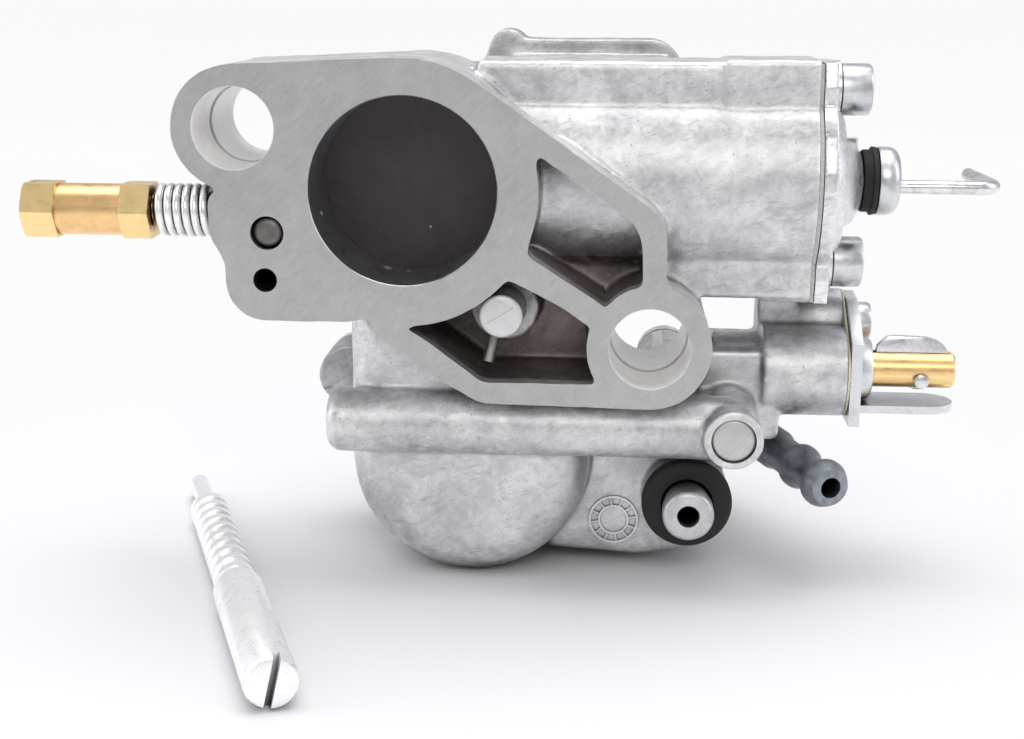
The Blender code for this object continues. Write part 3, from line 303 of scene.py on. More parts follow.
def turned_y(profile, y, centre, segments=32, way=1):
    """Turned about +Y, or about -Y with way=-1; centre is (x, z)."""
    return turned(profile, (centre[0], y, centre[1]), (0, way, 0), segments)


def coil(start, end, radius, wire_r, turns, per_turn, resolution, end_turns=0.75):
    """Compression spring from start to end with closed ends."""
    a, b = Vector(start), Vector(end)
    rotation = (b - a).to_track_quat('Z', 'Y')
    low, high = wire_r, (b - a).length - wire_r
    steps = int(turns * per_turn)
    points = []
    for i in range(steps + 1):
        turn = i / steps * turns
        if turn < end_turns:
            height = low + 2.05 * wire_r * turn
        elif turn > turns - end_turns:
            height = high - 2.05 * wire_r * (turns - turn)
        else:
            share = (turn - end_turns) / (turns - 2 * end_turns)
            first = low + 2.05 * wire_r * end_turns
            last = high - 2.05 * wire_r * end_turns
            height = first + (last - first) * share
        angle = 2 * pi * turn
        points.append(a + rotation @ Vector((radius * cos(angle), radius * sin(angle), height)))
    return wire(points, wire_r, resolution)


def threaded(radius, depth, pitch, length, origin, direction, segments=48, per_pitch=10,
             lead=1.0, crest=1.25):
    """Screwed rod: a ridge winds round it and fades out over 'lead' pitches at
    both ends; a larger crest makes the ridge broader."""
    rows = int(length / pitch * per_pitch)
    rings = []
    for i in range(rows + 1):
        height = length * i / rows
        fade = min(1.0, height / (lead * pitch), (length - height) / (lead * pitch))
        ring = []
        for j in range(segments):
            angle = 2 * pi * j / segments
            phase = (height / pitch - j / segments) % 1.0
            ridge = min(1.0, max(0.0, crest * abs(2 * phase - 1) - 0.12))
            r = radius - depth * (1 - ridge * fade)
            ring.append((r * cos(angle), r * sin(angle), height))
        rings.append(ring)
    bm = stack(rings)
    bm.transform(pose(origin, direction))
    return add(bm)


def bake(ob):
    """Apply every modifier on a mesh object."""
    mesh = evaluated(ob)
    ob.modifiers.clear()
    old = ob.data
    ob.data = mesh
    bpy.data.meshes.remove(old)


def boolean(target, tools, operation, solver):
    for tool in tools:
        modifier = target.modifiers.new("b", 'BOOLEAN')
        modifier.operation = operation
        modifier.solver = solver
        modifier.object = tool
        bake(target)
        bpy.data.objects.remove(tool)
    return target


def join(target, *tools, solver='EXACT'):
    return boolean(target, tools, 'UNION', solver)


def cut(target, *tools, solver='EXACT'):
    return boolean(target, tools, 'DIFFERENCE', solver)


def read_vectors(items, key):
    values = np.empty(len(items) * 3, np.float32)
    items.foreach_get(key, values)
    return values.reshape(-1, 3)


def skin(ob, voxel, passes, wobble):
    """Turn a sharp blank into a cast skin: rounded edges, filled corners and
    a slightly uneven surface."""
    remesh = ob.modifiers.new("skin", 'REMESH')
    remesh.mode = 'VOXEL'
    remesh.voxel_size = voxel * MM
    remesh.adaptivity = 0.0
    smooth = ob.modifiers.new("soft", 'SMOOTH')
    smooth.factor = 0.5
    smooth.iterations = passes
    bake(ob)
    mesh = ob.data
    places = read_vectors(mesh.vertices, "co")
    normals = read_vectors(mesh.vertices, "normal")
    amount = np.array([noise.noise(p * 0.28) * 0.7 + noise.noise(p * 0.9 + Vector((7, 3, 1))) * 0.3
                       for p in (Vector(c) * 1000 for c in places.tolist())], np.float32)
    places += normals * (amount * wobble * MM)[:, None]
    mesh.vertices.foreach_set("co", places.ravel())
    mesh.update()


# ------------------------------------------------------------ outlines
# Outlines along Y are (x, z) points, outlines along X are (y, z) points.
def lower_right_edge():
    """Right lug, bottom edge and the slope up towards the bore ring."""
    return (arc(LUG_RIGHT, LUG_R, 68, -88, 14) + arc((11.2, -22.0), 5.3, -90, -128, 4)
            + [(3.2, -23.4), (0.7, -21.4), (-1.9, -19.6)])


def flange_outline():
    """Outline of the engine flange face."""
    return (arc(LUG_LEFT, LUG_R, 260, 95, 14)
            + [(-13.5, 16.05), (-5.0, 16.5)]
            + arc(BORE, RING_R, 92, 55.6, 4)
            + arc((29.0, -5.5), 4.5, 55.6, 0, 4)                 # right shoulder
            + [(33.5, -11.2), (34.1, -12.15)]
            + lower_right_edge()
            + arc((-7.6, -11.9), 5.0, -56, -90, 4)
            + arc((-17.9, -11.9), 5.0, -90, -180, 6)             # lower left corner
            + [(-22.9, -9.6), (-23.6, -8.0), (-24.5, -6.6), (-24.9, -5.3),
               (-24.9, -1.6), (-24.5, -0.7)])


def left_block_outline():
    return (arc(LUG_LEFT, LUG_R, 262, 95, 14)
            + [(-13.5, 16.05), (-5.0, 16.5)]
            + arc(BORE, RING_R, 92, -90, 22)
            + [(-17.9, -16.7)]
            + arc((-17.9, -11.9), 4.9, -100, -180, 5)
            + [(-22.8, -9.0), (-22.8, -1.0)])


def lower_frame_outline():
    return ([(14.0, -8.0), (29.0, -9.0), (33.5, -9.0), (33.5, -12.0)]
            + lower_right_edge()
            + [(-4.4, -17.6), (-4.4, -14.0)])


def upper_recess():
    """Three-sided pocket to the right of the bore ring."""
    return ([(17.1, 4.8), (24.2, 0.2), (27.6, -2.4), (29.2, -3.6), (30.1, -5.2), (30.45, -7.2),
             (30.6, -11.65), (28.8, -12.15), (27.3, -13.05), (25.9, -14.35), (20.8, -11.1),
             (15.8, -7.8)]
            + arc(BORE, 17.2, -20, 12, 6))


def lower_recess():
    """Pocket under the bore ring, left of the right lug."""
    return ([(13.4, -11.0), (17.4, -12.9), (21.0, -14.9), (24.1, -17.0)]
            + arc(LUG_RIGHT, 8.1, 168, 212, 5)
            + [(24.9, -24.5), (12.0, -24.5)]
            + arc((11.4, -21.0), 3.6, -100, -135, 3)
            + [(5.8, -21.3), (3.0, -19.2), (-0.2, -17.3)]
            + arc(BORE, 17.3, -86, -44, 6))


def seat_outline():
    """Air-filter seat: rounded rectangle with a bump on its top edge."""
    return (arc((-10.2, 9.2), 5.0, 180, 90, 8) + [(7.3, 14.2)]
            + arc((11.0, 16.4), 2.7, 150, 30, 8) + [(16.0, 17.7)]
            + arc((31.2, 12.8), 5.0, 90, 0, 8)
            + arc((31.2, -17.0), 5.0, 0, -90, 8)
            + arc((-10.2, -17.0), 5.0, -90, -180, 8))


def d_section(flat_y, radius, steps):
    """D section: flat towards the engine, round towards the filter."""
    return arc((flat_y, 0), radius, -90, 90, steps)


def cover_section(grow=0.0):
    """Slide-chamber end with its two screw lugs."""
    top, bottom = COVER_SCREWS
    return (arc((20, 0), 13.9 + grow, 132, 228, 10)
            + [(10.6 - grow, -12.6), (11.4, -15.6 - grow)]
            + arc(bottom, 4.0 + grow, -90, -15, 5)
            + [(27.6 + grow, -6.0), (27.6 + grow, 6.0)]
            + arc(top, 4.0 + grow, 15, 90, 5)
            + [(11.4, 15.8 + grow), (10.6 - grow, 12.8)])


def float_cover_outline():
    """The bowl's open face with two ears and the inlet lobe."""
    return ([(BOWL_LEFT, -22.8), (BOWL_LEFT, -26.6)]
            + arc(EAR_LEFT, 4.4, 90, 255, 7)
            + [(BOWL_LEFT, -36.0)]
            + arc(BOWL, BOWL_R, 180, 288, 12)
            + [(27.0, -52.0)]
            + arc((BANJO[0], BANJO[1] - 1.0), 6.8, -65, 70, 8)
            + arc(EAR_RIGHT, 4.2, -30, 180, 9)
            + [(25.2, -29.0), (24.1, -27.9), (24.1, -22.8)])


# ------------------------------------------------------------ looks
def feed(tree, socket, value):
    """Link an output into a socket, or set the socket's value."""
    if hasattr(value, "is_output"):
        tree.links.new(value, socket)
    elif socket.type == 'RGBA':
        socket.default_value = (*value, 1.0)
    else:
        socket.default_value = value


def new_node(tree, kind, inputs=None, **settings):
    node = tree.nodes.new("ShaderNode" + kind)
    for key, value in settings.items():
        setattr(node, key, value)
    for key, value in (inputs or {}).items():
        feed(tree, node.inputs[key], value)
    return node


def shade(colour, factor, lift=0.0):
    """Colour made darker or brighter, held at or below 1."""
    return tuple(min(1.0, c * factor + lift) for c in colour)


class Look:
    """Builds one node material; textures read positions in millimetres."""

    def __init__(self, name, rough=0.4, metal=1.0, in_mm=True):
        self.material = bpy.data.materials.new(name)
        self.material.use_nodes = True
        self.tree = self.material.node_tree
        self.shader = self.tree.nodes["Principled BSDF"]
        self.set("Roughness", rough)
        self.set("Metallic", metal)
        self.position = self.node("TexCoord").outputs["Object"]
        if in_mm:
            self.mm = self.mapped()
        self.colour = None
        self.normal = None

    def set(self, socket, value):
        feed(self.tree, self.shader.inputs[socket], value)

    def node(self, kind, inputs=None, **settings):
        return new_node(self.tree, kind, inputs, **settings)

    def mapped(self, scale=(1000, 1000, 1000), turn=(0, 0, 0), shift=(0, 0, 0), source=None):
        return self.node("Mapping", {"Location": shift, "Rotation": turn, "Scale": scale,
                                     "Vector": source or self.position}).outputs[0]

    def stretched(self, scale, turn=(0, 0, 0)):
        """Positions in millimetres, turned and then scaled per axis."""
        return self.mapped(scale, source=self.mapped(turn=turn))

    def noise(self, scale, detail=3.0, rough=0.55, distort=0.0, at=None):
        return self.node("TexNoise", {"Scale": scale, "Detail": detail, "Roughness": rough,
                                      "Distortion": distort,
                                      "Vector": at or self.mm}).outputs["Fac"]

    def cells(self, scale):
        return self.node("TexVoronoi", {"Scale": scale, "Vector": self.mm}).outputs["Distance"]

    def waves(self, kind, direction, scale, distort, detail, at=None):
        """Wave texture; kind is 'BANDS' or 'RINGS'."""
        settings = {"wave_type": kind, kind.lower() + "_direction": direction}
        return self.node("TexWave", {"Scale": scale, "Distortion": distort, "Detail": detail,
                                     "Vector": at or self.mm}, **settings).outputs["Fac"]

    def span(self, value, between, to=(0.0, 1.0)):
        """Map one range of a value to another, clamped."""
        return self.node("MapRange", {"From Min": between[0], "From Max": between[1],
                                      "To Min": to[0], "To Max": to[1],
                                      "Value": value}).outputs["Result"]

    def ramp(self, value, stops):
        """Colour ramp from (position, colour) stops."""
        node = self.node("ValToRGB", {"Fac": value})
        elements = node.color_ramp.elements
        while len(elements) < len(stops):
            elements.new(0.5)
        for element, (position, colour) in zip(elements, stops):
            element.position = position
            element.color = (*colour, 1.0)
        return node.outputs["Color"]

    def mix(self, factor, a, b):
        return self.node("Mix", {0: factor, 6: a, 7: b}, data_type='RGBA').outputs[2]

    def calc(self, operation, a, b):
        return self.node("Math", {0: a, 1: b}, operation=operation).outputs[0]

    def times(self, a, b):
        return self.calc('MULTIPLY', a, b)

    def weighted(self, a, a_share, b, b_share):
        return self.calc('ADD', self.times(a, a_share), self.times(b, b_share))

    def tint(self, mask, colour, amount=None):
        """Lay a colour over the present one where the mask is bright."""
        if amount is not None:
            mask = self.times(mask, amount)
        self.colour = self.mix(mask, self.colour, colour)

    def edge(self, between=(0.505, 0.56)):
        """1 on sharp outer edges, 0 on flat faces."""
        return self.span(self.node("NewGeometry").outputs["Pointiness"], between)

    def crevice(self, reach, between):
        """1 deep in pockets and corners, 0 on open faces; reach in mm."""
        node = self.node("AmbientOcclusion", {"Distance": reach * MM}, samples=6)
        return self.span(node.outputs["AO"], between)

    def bump(self, height, strength, depth):
        """Add a bump on top of the earlier ones; depth in mm."""
        node = self.node("Bump", {"Strength": strength, "Distance": depth * MM,
                                  "Height": height})
        if self.normal:
            feed(self.tree, node.inputs["Normal"], self.normal)
        self.normal = node.outputs["Normal"]

    def finish(self, rough=None):
        self.set("Base Color", self.colour)
        if rough is not None:
            self.set("Roughness", rough)
        if self.normal:
            self.set("Normal", self.normal)
        return self.material


def cast_look(name, dark, light, stain=0.35, rough=(0.34, 0.55), edge_highlight=0.35, crevice_shade_and_dirt=0.85):
    """As-cast alloy: cloudy patches, darker flow stains, fine grain and pits; painted highlights
    on sharp edges; painted shade with a brown dirt tint in pockets, and painted grey shade in fine
    creases.
    """
    look = Look(name, metal=0.92)
    cloud = look.noise(scale=0.16, detail=5.0, rough=0.62, distort=0.6)
    mottle = look.noise(scale=0.75, detail=6.0, rough=0.68, distort=0.8)
    grain = look.noise(scale=5.5, rough=0.6)
    middle = tuple((a + b) / 2 for a, b in zip(dark, light))
    look.colour = look.ramp(look.weighted(cloud, 0.55, mottle, 0.45),
                            [(0.36, dark), (0.50, middle), (0.62, light)])
    flow = look.noise(scale=1.0, detail=6.0, rough=0.72, distort=1.4,
                      at=look.stretched(turn=(0, 0.4, 0), scale=(0.16, 0.5, 0.42)))
    flow_mask = look.span(flow, between=(0.56, 0.66))
    patch = look.span(look.noise(scale=0.07, detail=2.0), between=(0.42, 0.6))
    look.tint(flow_mask, shade(dark, 0.48), amount=look.times(patch, stain))
    fleck = look.noise(scale=1.0, detail=6.0, rough=0.78, distort=0.6,
                       at=look.stretched(turn=(0, 0.3, 0), scale=(0.42, 1.5, 2.3)))
    look.tint(look.span(fleck, between=(0.54, 0.68)), shade(dark, 0.42), amount=0.42)
    bright = look.noise(scale=0.9, detail=7.0, rough=0.75, distort=0.5)
    look.tint(look.span(bright, between=(0.60, 0.72)), (0.93, 0.94, 0.95), amount=0.35)
    pits = look.span(look.cells(scale=1.35), between=(0.13, 0.05))
    rare = look.span(look.noise(scale=0.3, detail=2.0), between=(0.53, 0.60))
    pit = look.times(pits, rare)
    look.tint(pit, (0.05, 0.05, 0.055), amount=0.85)
    # Painted highlight: sharp outer edges are lightened as if they caught the lamps.
    look.tint(look.edge(), (0.95, 0.95, 0.96), amount=edge_highlight)
    # Painted shade: ambient occlusion darkens pockets (7.5 mm reach) towards a brown dirt colour
    # and fine creases (1.3 mm reach) towards grey.
    deep = look.crevice(reach=7.5, between=(0.42, 0.18))
    fine = look.crevice(reach=1.3, between=(0.80, 0.40))
    shade_and_dirt_ramp = look.ramp(mottle, [(0.35, (0.035, 0.028, 0.028)), (0.65, (0.16, 0.125, 0.12))])
    look.tint(deep, shade_and_dirt_ramp, amount=crevice_shade_and_dirt)
    look.tint(fine, (0.10, 0.10, 0.105), amount=0.55)
    look.bump(grain, strength=0.35, depth=0.02)
    look.bump(mottle, strength=0.5, depth=0.09)
    look.bump(look.calc('SUBTRACT', 1.0, pit), strength=0.8, depth=0.12)
    base_rough = look.span(mottle, between=(0.3, 0.7), to=rough)
    return look.finish(look.calc('ADD', base_rough, look.times(deep, 0.2)))


def milled_look(name, base, sweep=0.75):
    """Milled face: fine curved tool marks, faint scratches, small specks.
    The sweep is the direction of the marks about Y, in radians."""
    look = Look(name, metal=0.9)
    marks = look.waves('RINGS', 'Y', scale=3.2, distort=2.2, detail=3.0,
                       at=look.mapped(shift=(150, 0, 210)))
    fine = look.noise(scale=1.0, detail=4.0, rough=0.65,
                      at=look.stretched(turn=(0, sweep, 0), scale=(0.22, 4.0, 5.5)))
    wide = look.noise(scale=0.12, detail=4.0, rough=0.6, distort=0.4)
    scratch = look.noise(scale=1.0, detail=2.0, rough=0.5, distort=0.2,
                         at=look.stretched(turn=(0, sweep + 0.5, 0), scale=(0.12, 6.0, 9.0)))
    speck = look.span(look.noise(scale=3.6, detail=5.0, rough=0.7), between=(0.66, 0.72))
    tone = look.weighted(fine, 0.6, wide, 0.4)
    look.colour = look.ramp(tone, [(0.34, shade(base, 0.86)), (0.5, base),
                                   (0.66, shade(base, 1.12))])
    look.tint(look.span(scratch, between=(0.62, 0.7)), (0.9, 0.9, 0.9), amount=0.14)
    blot = look.noise(scale=0.55, detail=6.0, rough=0.75, distort=0.4)
    look.tint(look.span(blot, between=(0.42, 0.66)), shade(base, 1.45), amount=0.22)
    look.tint(speck, shade(base, 0.40), amount=0.6)
    look.bump(fine, strength=0.35, depth=0.012)
    look.bump(marks, strength=0.22, depth=0.008)
    look.bump(look.noise(scale=6.0, rough=0.6), strength=0.25, depth=0.012)
    return look.finish(look.span(tone, between=(0.35, 0.65), to=(0.36, 0.5)))


def turned_look(name, base, axis='Y', rough=(0.2, 0.36), fine=5.0, metal=1.0, stain=0.3,
                dark=0.72, light=1.1, shaded_bores=True):
    """Turned metal: fine rings round its axis, with slight tarnish, painted highlights on sharp
    edges and painted shade in grooves. 'dark' and
    'light' bound the tarnish; 'shaded_bores' paints deep holes near black as shade."""
    look = Look(name, metal=metal)
    scale = [0.15, 0.15, 0.15]
    scale["XYZ".index(axis)] = fine
    rings = look.noise(scale=1.0, rough=0.6, at=look.stretched(scale))
    tarnish = look.noise(scale=0.5, detail=5.0, rough=0.65, distort=0.6)
    grain = look.noise(scale=9.0, detail=2.0)
    look.colour = look.ramp(tarnish, [(0.35, shade(base, dark)), (0.52, base),
                                      (0.68, shade(base, light))])
    look.tint(look.span(rings, between=(0.55, 0.68)), shade(base, 0.5), amount=stain)
    # Painted highlight: sharp edges are lightened as if they caught the lamps.
    look.tint(look.edge(between=(0.51, 0.6)), shade(base, 1.35, lift=0.05), amount=0.4)
    # Painted shade in fine grooves and corners, such as thread roots.
    look.tint(look.crevice(reach=0.8, between=(0.80, 0.42)), shade(base, 0.25), amount=0.55)
    # Painted shade: deep holes are darkened to near black.
    if shaded_bores:
        look.tint(look.crevice(reach=7.0, between=(0.34, 0.14)), (0.012, 0.011, 0.012))
    look.bump(rings, strength=0.4, depth=0.02)
    look.bump(grain, strength=0.15, depth=0.008)
    return look.finish(look.span(tarnish, between=(0.3, 0.7), to=rough))


def rubber_look(name, base, rough=0.62, specular=0.4):
    look = Look(name, rough, metal=0.0)
    dust = look.noise(scale=2.2, detail=5.0, rough=0.7)
    look.colour = base
    look.tint(look.span(dust, between=(0.56, 0.75)), shade(base, 1.0, lift=0.035), amount=0.5)
    look.bump(look.noise(scale=7.0), strength=0.4, depth=0.03)
    look.bump(look.noise(scale=1.1, detail=2.0), strength=0.3, depth=0.06)
    look.set("Specular IOR Level", specular)
    return look.finish(look.span(dust, between=(0.3, 0.7), to=(rough - 0.08, rough + 0.1)))


def slide_look(name):
    """Dark coated slide: brown-black, satin, with drawing lines and specks."""
    look = Look(name, metal=0.25)
    cloud = look.noise(scale=0.22, detail=4.0, rough=0.6, distort=0.8)
    look.colour = look.ramp(cloud, [(0.35, (0.042, 0.032, 0.034)), (0.52, (0.052, 0.040, 0.042)),
                                    (0.7, (0.064, 0.050, 0.052))])
    lines = look.noise(scale=1.0, rough=0.6, at=look.stretched(scale=(0.12, 3.0, 4.5)))
    look.tint(look.span(lines, between=(0.58, 0.7)), (0.10, 0.08, 0.075), amount=0.10)
    dots = look.span(look.cells(scale=0.52), between=(0.075, 0.045))
    some = look.span(look.noise(scale=0.4, detail=1.0), between=(0.60, 0.62))
    look.tint(dots, (0.75, 0.72, 0.68), amount=some)
    look.bump(look.noise(scale=8.0), strength=0.3, depth=0.015)
    look.bump(lines, strength=0.3, depth=0.012)
    return look.finish(look.span(cloud, between=(0.3, 0.7), to=(0.38, 0.52)))


def fibre_look(name, base):
    look = Look(name, rough=0.8, metal=0.0)
    fibres = look.noise(scale=4.0, detail=6.0, rough=0.75, distort=0.5)
    look.colour = look.ramp(fibres, [(0.3, shade(base, 0.6)), (0.5, base),
                                     (0.7, shade(base, 1.3))])
    look.bump(fibres, strength=0.5, depth=0.04)
    return look.finish(look.span(fibres, between=(0.3, 0.7), to=(0.7, 0.9)))


def plastic_look(name, base, woven=False):
    look = Look(name, rough=0.45, metal=0.0)
    cloud = look.noise(scale=0.5, detail=4.0, rough=0.6)
    look.colour = look.ramp(cloud, [(0.3, shade(base, 0.86)), (0.7, base)])
    if woven:
        weave = look.times(look.waves('BANDS', 'X', scale=7.0, distort=0.0, detail=0.0),
                           look.waves('BANDS', 'Y', scale=7.0, distort=0.0, detail=0.0))
        look.colour = look.mix(weave, shade(base, 0.4), look.colour)
        look.bump(weave, strength=0.8, depth=0.05)
    look.bump(look.noise(scale=6.0), strength=0.25, depth=0.02)
    return look.finish(look.span(cloud, between=(0.3, 0.7), to=(0.4, 0.55)))


CAST = cast_look("cast_alloy", (0.46, 0.465, 0.48), (0.79, 0.795, 0.80))
# Darker, rougher copy of the cast look: painted shade for the filter end and the lower back.
CAST_SHADED = cast_look("cast_painted_shade", (0.30, 0.30, 0.31), (0.62, 0.62, 0.63),
                      stain=0.8, rough=(0.45, 0.62), edge_highlight=0.2)
CAST_SMOOTH = cast_look("cover_alloy", (0.60, 0.61, 0.63), (0.88, 0.885, 0.89),
                        stain=0.4, rough=(0.24, 0.40))
MILLED = milled_look("milled_face", (0.45, 0.446, 0.442))
BORED = turned_look("bored_wall", (0.50, 0.52, 0.55), rough=(0.26, 0.38), fine=6.0, stain=0.2)
HOLE = turned_look("hole_wall", (0.97, 0.955, 0.935), rough=(0.30, 0.44), fine=7.0, metal=0.45,
                   stain=0.25, dark=0.88, shaded_bores=False)
BRASS_X = turned_look("brass_x", (0.92, 0.61, 0.29), 'Z', rough=(0.26, 0.36), stain=0.22,
                      dark=0.9, light=1.05)
BRASS_Y = turned_look("brass_y", (0.86, 0.58, 0.28), rough=(0.22, 0.38), fine=6.0, stain=0.25)
STEEL_X = turned_look("steel_x", (0.74, 0.75, 0.76), 'X', rough=(0.16, 0.3), fine=4.0, stain=0.2)
STEEL_Y = turned_look("steel_y", (0.72, 0.73, 0.74), rough=(0.18, 0.32), fine=4.0, stain=0.2)
ZINC_X = turned_look("zinc_x", (0.62, 0.635, 0.655), 'X', rough=(0.28, 0.42), fine=3.0, stain=0.2)
SPRING = turned_look("spring_zinc", (0.92, 0.925, 0.91), 'X', rough=(0.24, 0.36), fine=2.0,
                     metal=0.9, stain=0.1, dark=0.86)
# Near black for the insides of small holes: painted shade.
HOLE_SHADE = rubber_look("hole_painted_shade", (0.010, 0.009, 0.012), rough=0.9, specular=0.1)
# Dark brown cast copy for the pocket faces: painted shade over brown dirt.
SHADED_POCKET = cast_look("pocket_shade_and_dirt", (0.17, 0.145, 0.14), (0.42, 0.365, 0.345),
                   stain=0.6, rough=(0.42, 0.6), edge_highlight=0.2, crevice_shade_and_dirt=0.45)
ZINC_Y = turned_look("zinc_y", (0.80, 0.82, 0.84), rough=(0.18, 0.34), fine=3.0, stain=0.15)
DULL_ZINC = turned_look("dull_zinc", (0.56, 0.57, 0.58), rough=(0.34, 0.5), fine=3.0, metal=0.95,
                        stain=0.2)
GREY_ZINC = turned_look("grey_zinc", (0.26, 0.28, 0.31), 'X', rough=(0.34, 0.5), fine=2.0,
                        metal=0.9)
RUBBER = rubber_look("black_rubber", (0.013, 0.012, 0.013))
SLIDE = slide_look("dark_slide")
PAPER = fibre_look("gasket_fibre", (0.50, 0.50, 0.485))
CREAM = fibre_look("gasket_cream", (0.72, 0.68, 0.50))
FLOAT = plastic_look("float_plastic", (0.85, 0.83, 0.76))
WEAVE = plastic_look("filter_weave", (0.80, 0.80, 0.74), woven=True)

# ------------------------------------------------------------ placing pieces
BODY_OF = {n: b for b, ns in frame["record"]["behaviour"]["bodies"].items() for n in ns}


def place(ob, node, look, sharp=35, bevel=0.0, bevel_steps=2, name=None):
    """Give a finished mesh its look and let it stand for a CAD node. Edges
    steeper than 'sharp' degrees stay hard; bevel is in mm."""
    ob.name = name or node + "_piece"
    ob.data.name = ob.name
    CUTTERS.objects.unlink(ob)
    PIECES.objects.link(ob)
    if bevel:
        modifier = ob.modifiers.new("soft_edges", 'BEVEL')
        modifier.width = bevel * MM
        modifier.segments = bevel_steps
        modifier.limit_method = 'ANGLE'
        modifier.angle_limit = radians(40)
        modifier.use_clamp_overlap = True
        bake(ob)
    for polygon in ob.data.polygons:
        polygon.material_index = 0
    ob.data.materials.clear()
    ob.data.materials.append(look)
    ob.data.shade_smooth()
    ob.data.set_sharp_from_angle(angle=radians(sharp))
    ob.data.transform(Matrix.Translation((0, 0, RISE * MM)))
    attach(ob, BODY_OF[node])
    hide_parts(node)


def dress(node, look):
    """Better material for a CAD node whose shape stays."""
    mesh = frame["nodes"][node].data
    mesh.materials.clear()
    mesh.materials.append(look)


# ============================================================ body casting
def body_blank():
    """Everything the mould makes, before machining."""
    blank = plate(flange_outline(), -0.9, FLANGE_T)
    join(blank,
         plate(inset(lower_frame_outline(), 0.07), -0.7, 15.3),
         plate(inset(left_block_outline(), 0.11), -0.6, LUG_LEN))
    cut(blank, plate(upper_recess(), -2.0, POCKET_Y))
    bowl = [(BOWL_RIGHT, -16.0), (BOWL_LEFT, -16.0)] + arc(BOWL, BOWL_R, 180, 360, 56)
    join(blank,
         rod_y(LUG_RIGHT, -0.6, LUG_LEN, LUG_R - 0.15, 72),
         # bore ring and its narrower run to the filter
         rod_y(BORE, -0.5, 26, RING_R - 0.15, 96),
         rod_y(BORE, 24, 37, 14.5, 96),
         # slide chamber with its upper and lower shoulders
         rod_x((20, 0), -10, CHAMBER_RAW, 13.8, 96),
         box((8.4, 10.7, 6), (CHAMBER_RAW, 22.5, 15.95), 0.8),
         box((40.6, 10.4, 9.6), (CHAMBER_RAW, 22.6, 16.25), 0.5),
         box((31.8, 10.5, -15.0), (CHAMBER_RAW, 22.5, -8.0), 0.6),
         plate(d_section(SLIDE_Y, 15.0, 40), -12.0, CHAMBER_X1 + 0.55, 'X'),
         plate(cover_section(), 46.5, CHAMBER_X1 + 0.7, 'X'),
         # air-filter seat and the blocks behind and below it
         plate(seat_outline(), 34.5, SEAT_Y + 0.7),
         box((11.0, 24, -13.9), (34.5, 36, 15.5), 1.2, 3),
         box((-5, 12, -21.8), (28, 36, -9), 0.8),
         soft_plate(bowl, BOWL_Y0 + 0.05, BOWL_RAW, 5.6, 8))
    cut(blank, plate(lower_recess(), -2.0, 14.0))
    wing = ([(20, -28.0), (42.6, -30.0)] + arc((34.0, -44.2), 8.8, 8, -78, 16)
            + [(31.0, -53.5), (18.0, -52.6)])
    rail = ([(0, 54.0), (RAIL_R, 54.0)]
            + arc((RAIL_R - RAIL_ROUND, RAIL_ROUND), RAIL_ROUND, 0, -90, 6) + [(0, 0.0)])
    join(blank,
         rod_y(MAIN_WELL, 7.3, 17.7, 4.6, 48),
         # left ear, fuel-inlet wing, right ear, oil stub
         rod_y(EAR_LEFT, 27.5, BOWL_RAW, 4.4, 40),
         box((-12, 27.5, -34.5), (-4, BOWL_Y1 + 0.55, -27.5)),
         soft_plate(wing, 15.5, BOWL_Y1 + 0.5, 1.2, 3),
         rod_y(EAR_RIGHT, 24.3, BOWL_RAW, 4.2, 40),
         rod_y(STUB, 12.2, 18, 5.9, 56),
         # oil rail and gallery boss
         turned_x(rail, -11.3, RAIL, 60),
         box((22.3, 9.1, -34.6), (43.3, 21.3, -29.1)),
         rod_y(BOSS, 1.3, 27.3, 3.94, 56),
         box((38.4, 16.2, -36.2), (50.2, 31.2, -23.3), 0.8),
         box((23.7, 20.4, -35.3), (40.4, 33.4, -27.9)),
         # starter housing and the arm that ties it to the slide chamber
         rod_x(STARTER_BOSS, 47.6, 59.6, 6.4, 56),
         rod_x(STARTER_SCREW, 47.3, 59.6, 4.7, 48),
         rod_x(PLUNGER, 40.8, 48.4, 4.85, 48),
         box((47.9, 20.7, -30.7), (59.5, 29.9, -22.3)),
         box((47.1, 22.9, -22.6), (52.2, 28.3, -11.7)),
         box((40.3, 23.1, -16.4), (51.9, 27.7, -10.3)),
         # bosses of the mixture and idle screws
         rod_x(MIX, -24.95, -16.0, 4.55, 40),
         rod_y(IDLE, 25.5, SEAT_Y - 0.5, 4.6, 40))
    return blank


def date_dial(centre, y, radius):
    """Plain round insert mark: two raised rings with tick marks between."""
    inner = radius * 0.62
    rings = [turned_y([(r - width, 0.30), (r, 0.30), (r, -0.6), (r - width, -0.6)],
                      y, centre, 64, way=-1)
             for r, width in ((radius, 0.32), (inner, 0.28))]
    dial = join(*rings)
    for i in range(12):
        angle = radians(30 * i + 8)
        along = Vector((cos(angle), sin(angle)))
        side = Vector((-along.y, along.x)) * 0.13
        start, end = along * (inner - 0.05), along * (radius - 0.2)
        corners = (start + side, end + side, end - side, start - side)
        tick = [(centre[0] + v.x, centre[1] + v.y) for v in corners]
        join(dial, plate(tick, y - 0.27, y + 0.6))
    return dial


def cover_screw_holes(x0, x1, radius, segments=32):
    return [rod_x(centre, x0, x1, radius, segments) for centre in COVER_SCREWS]


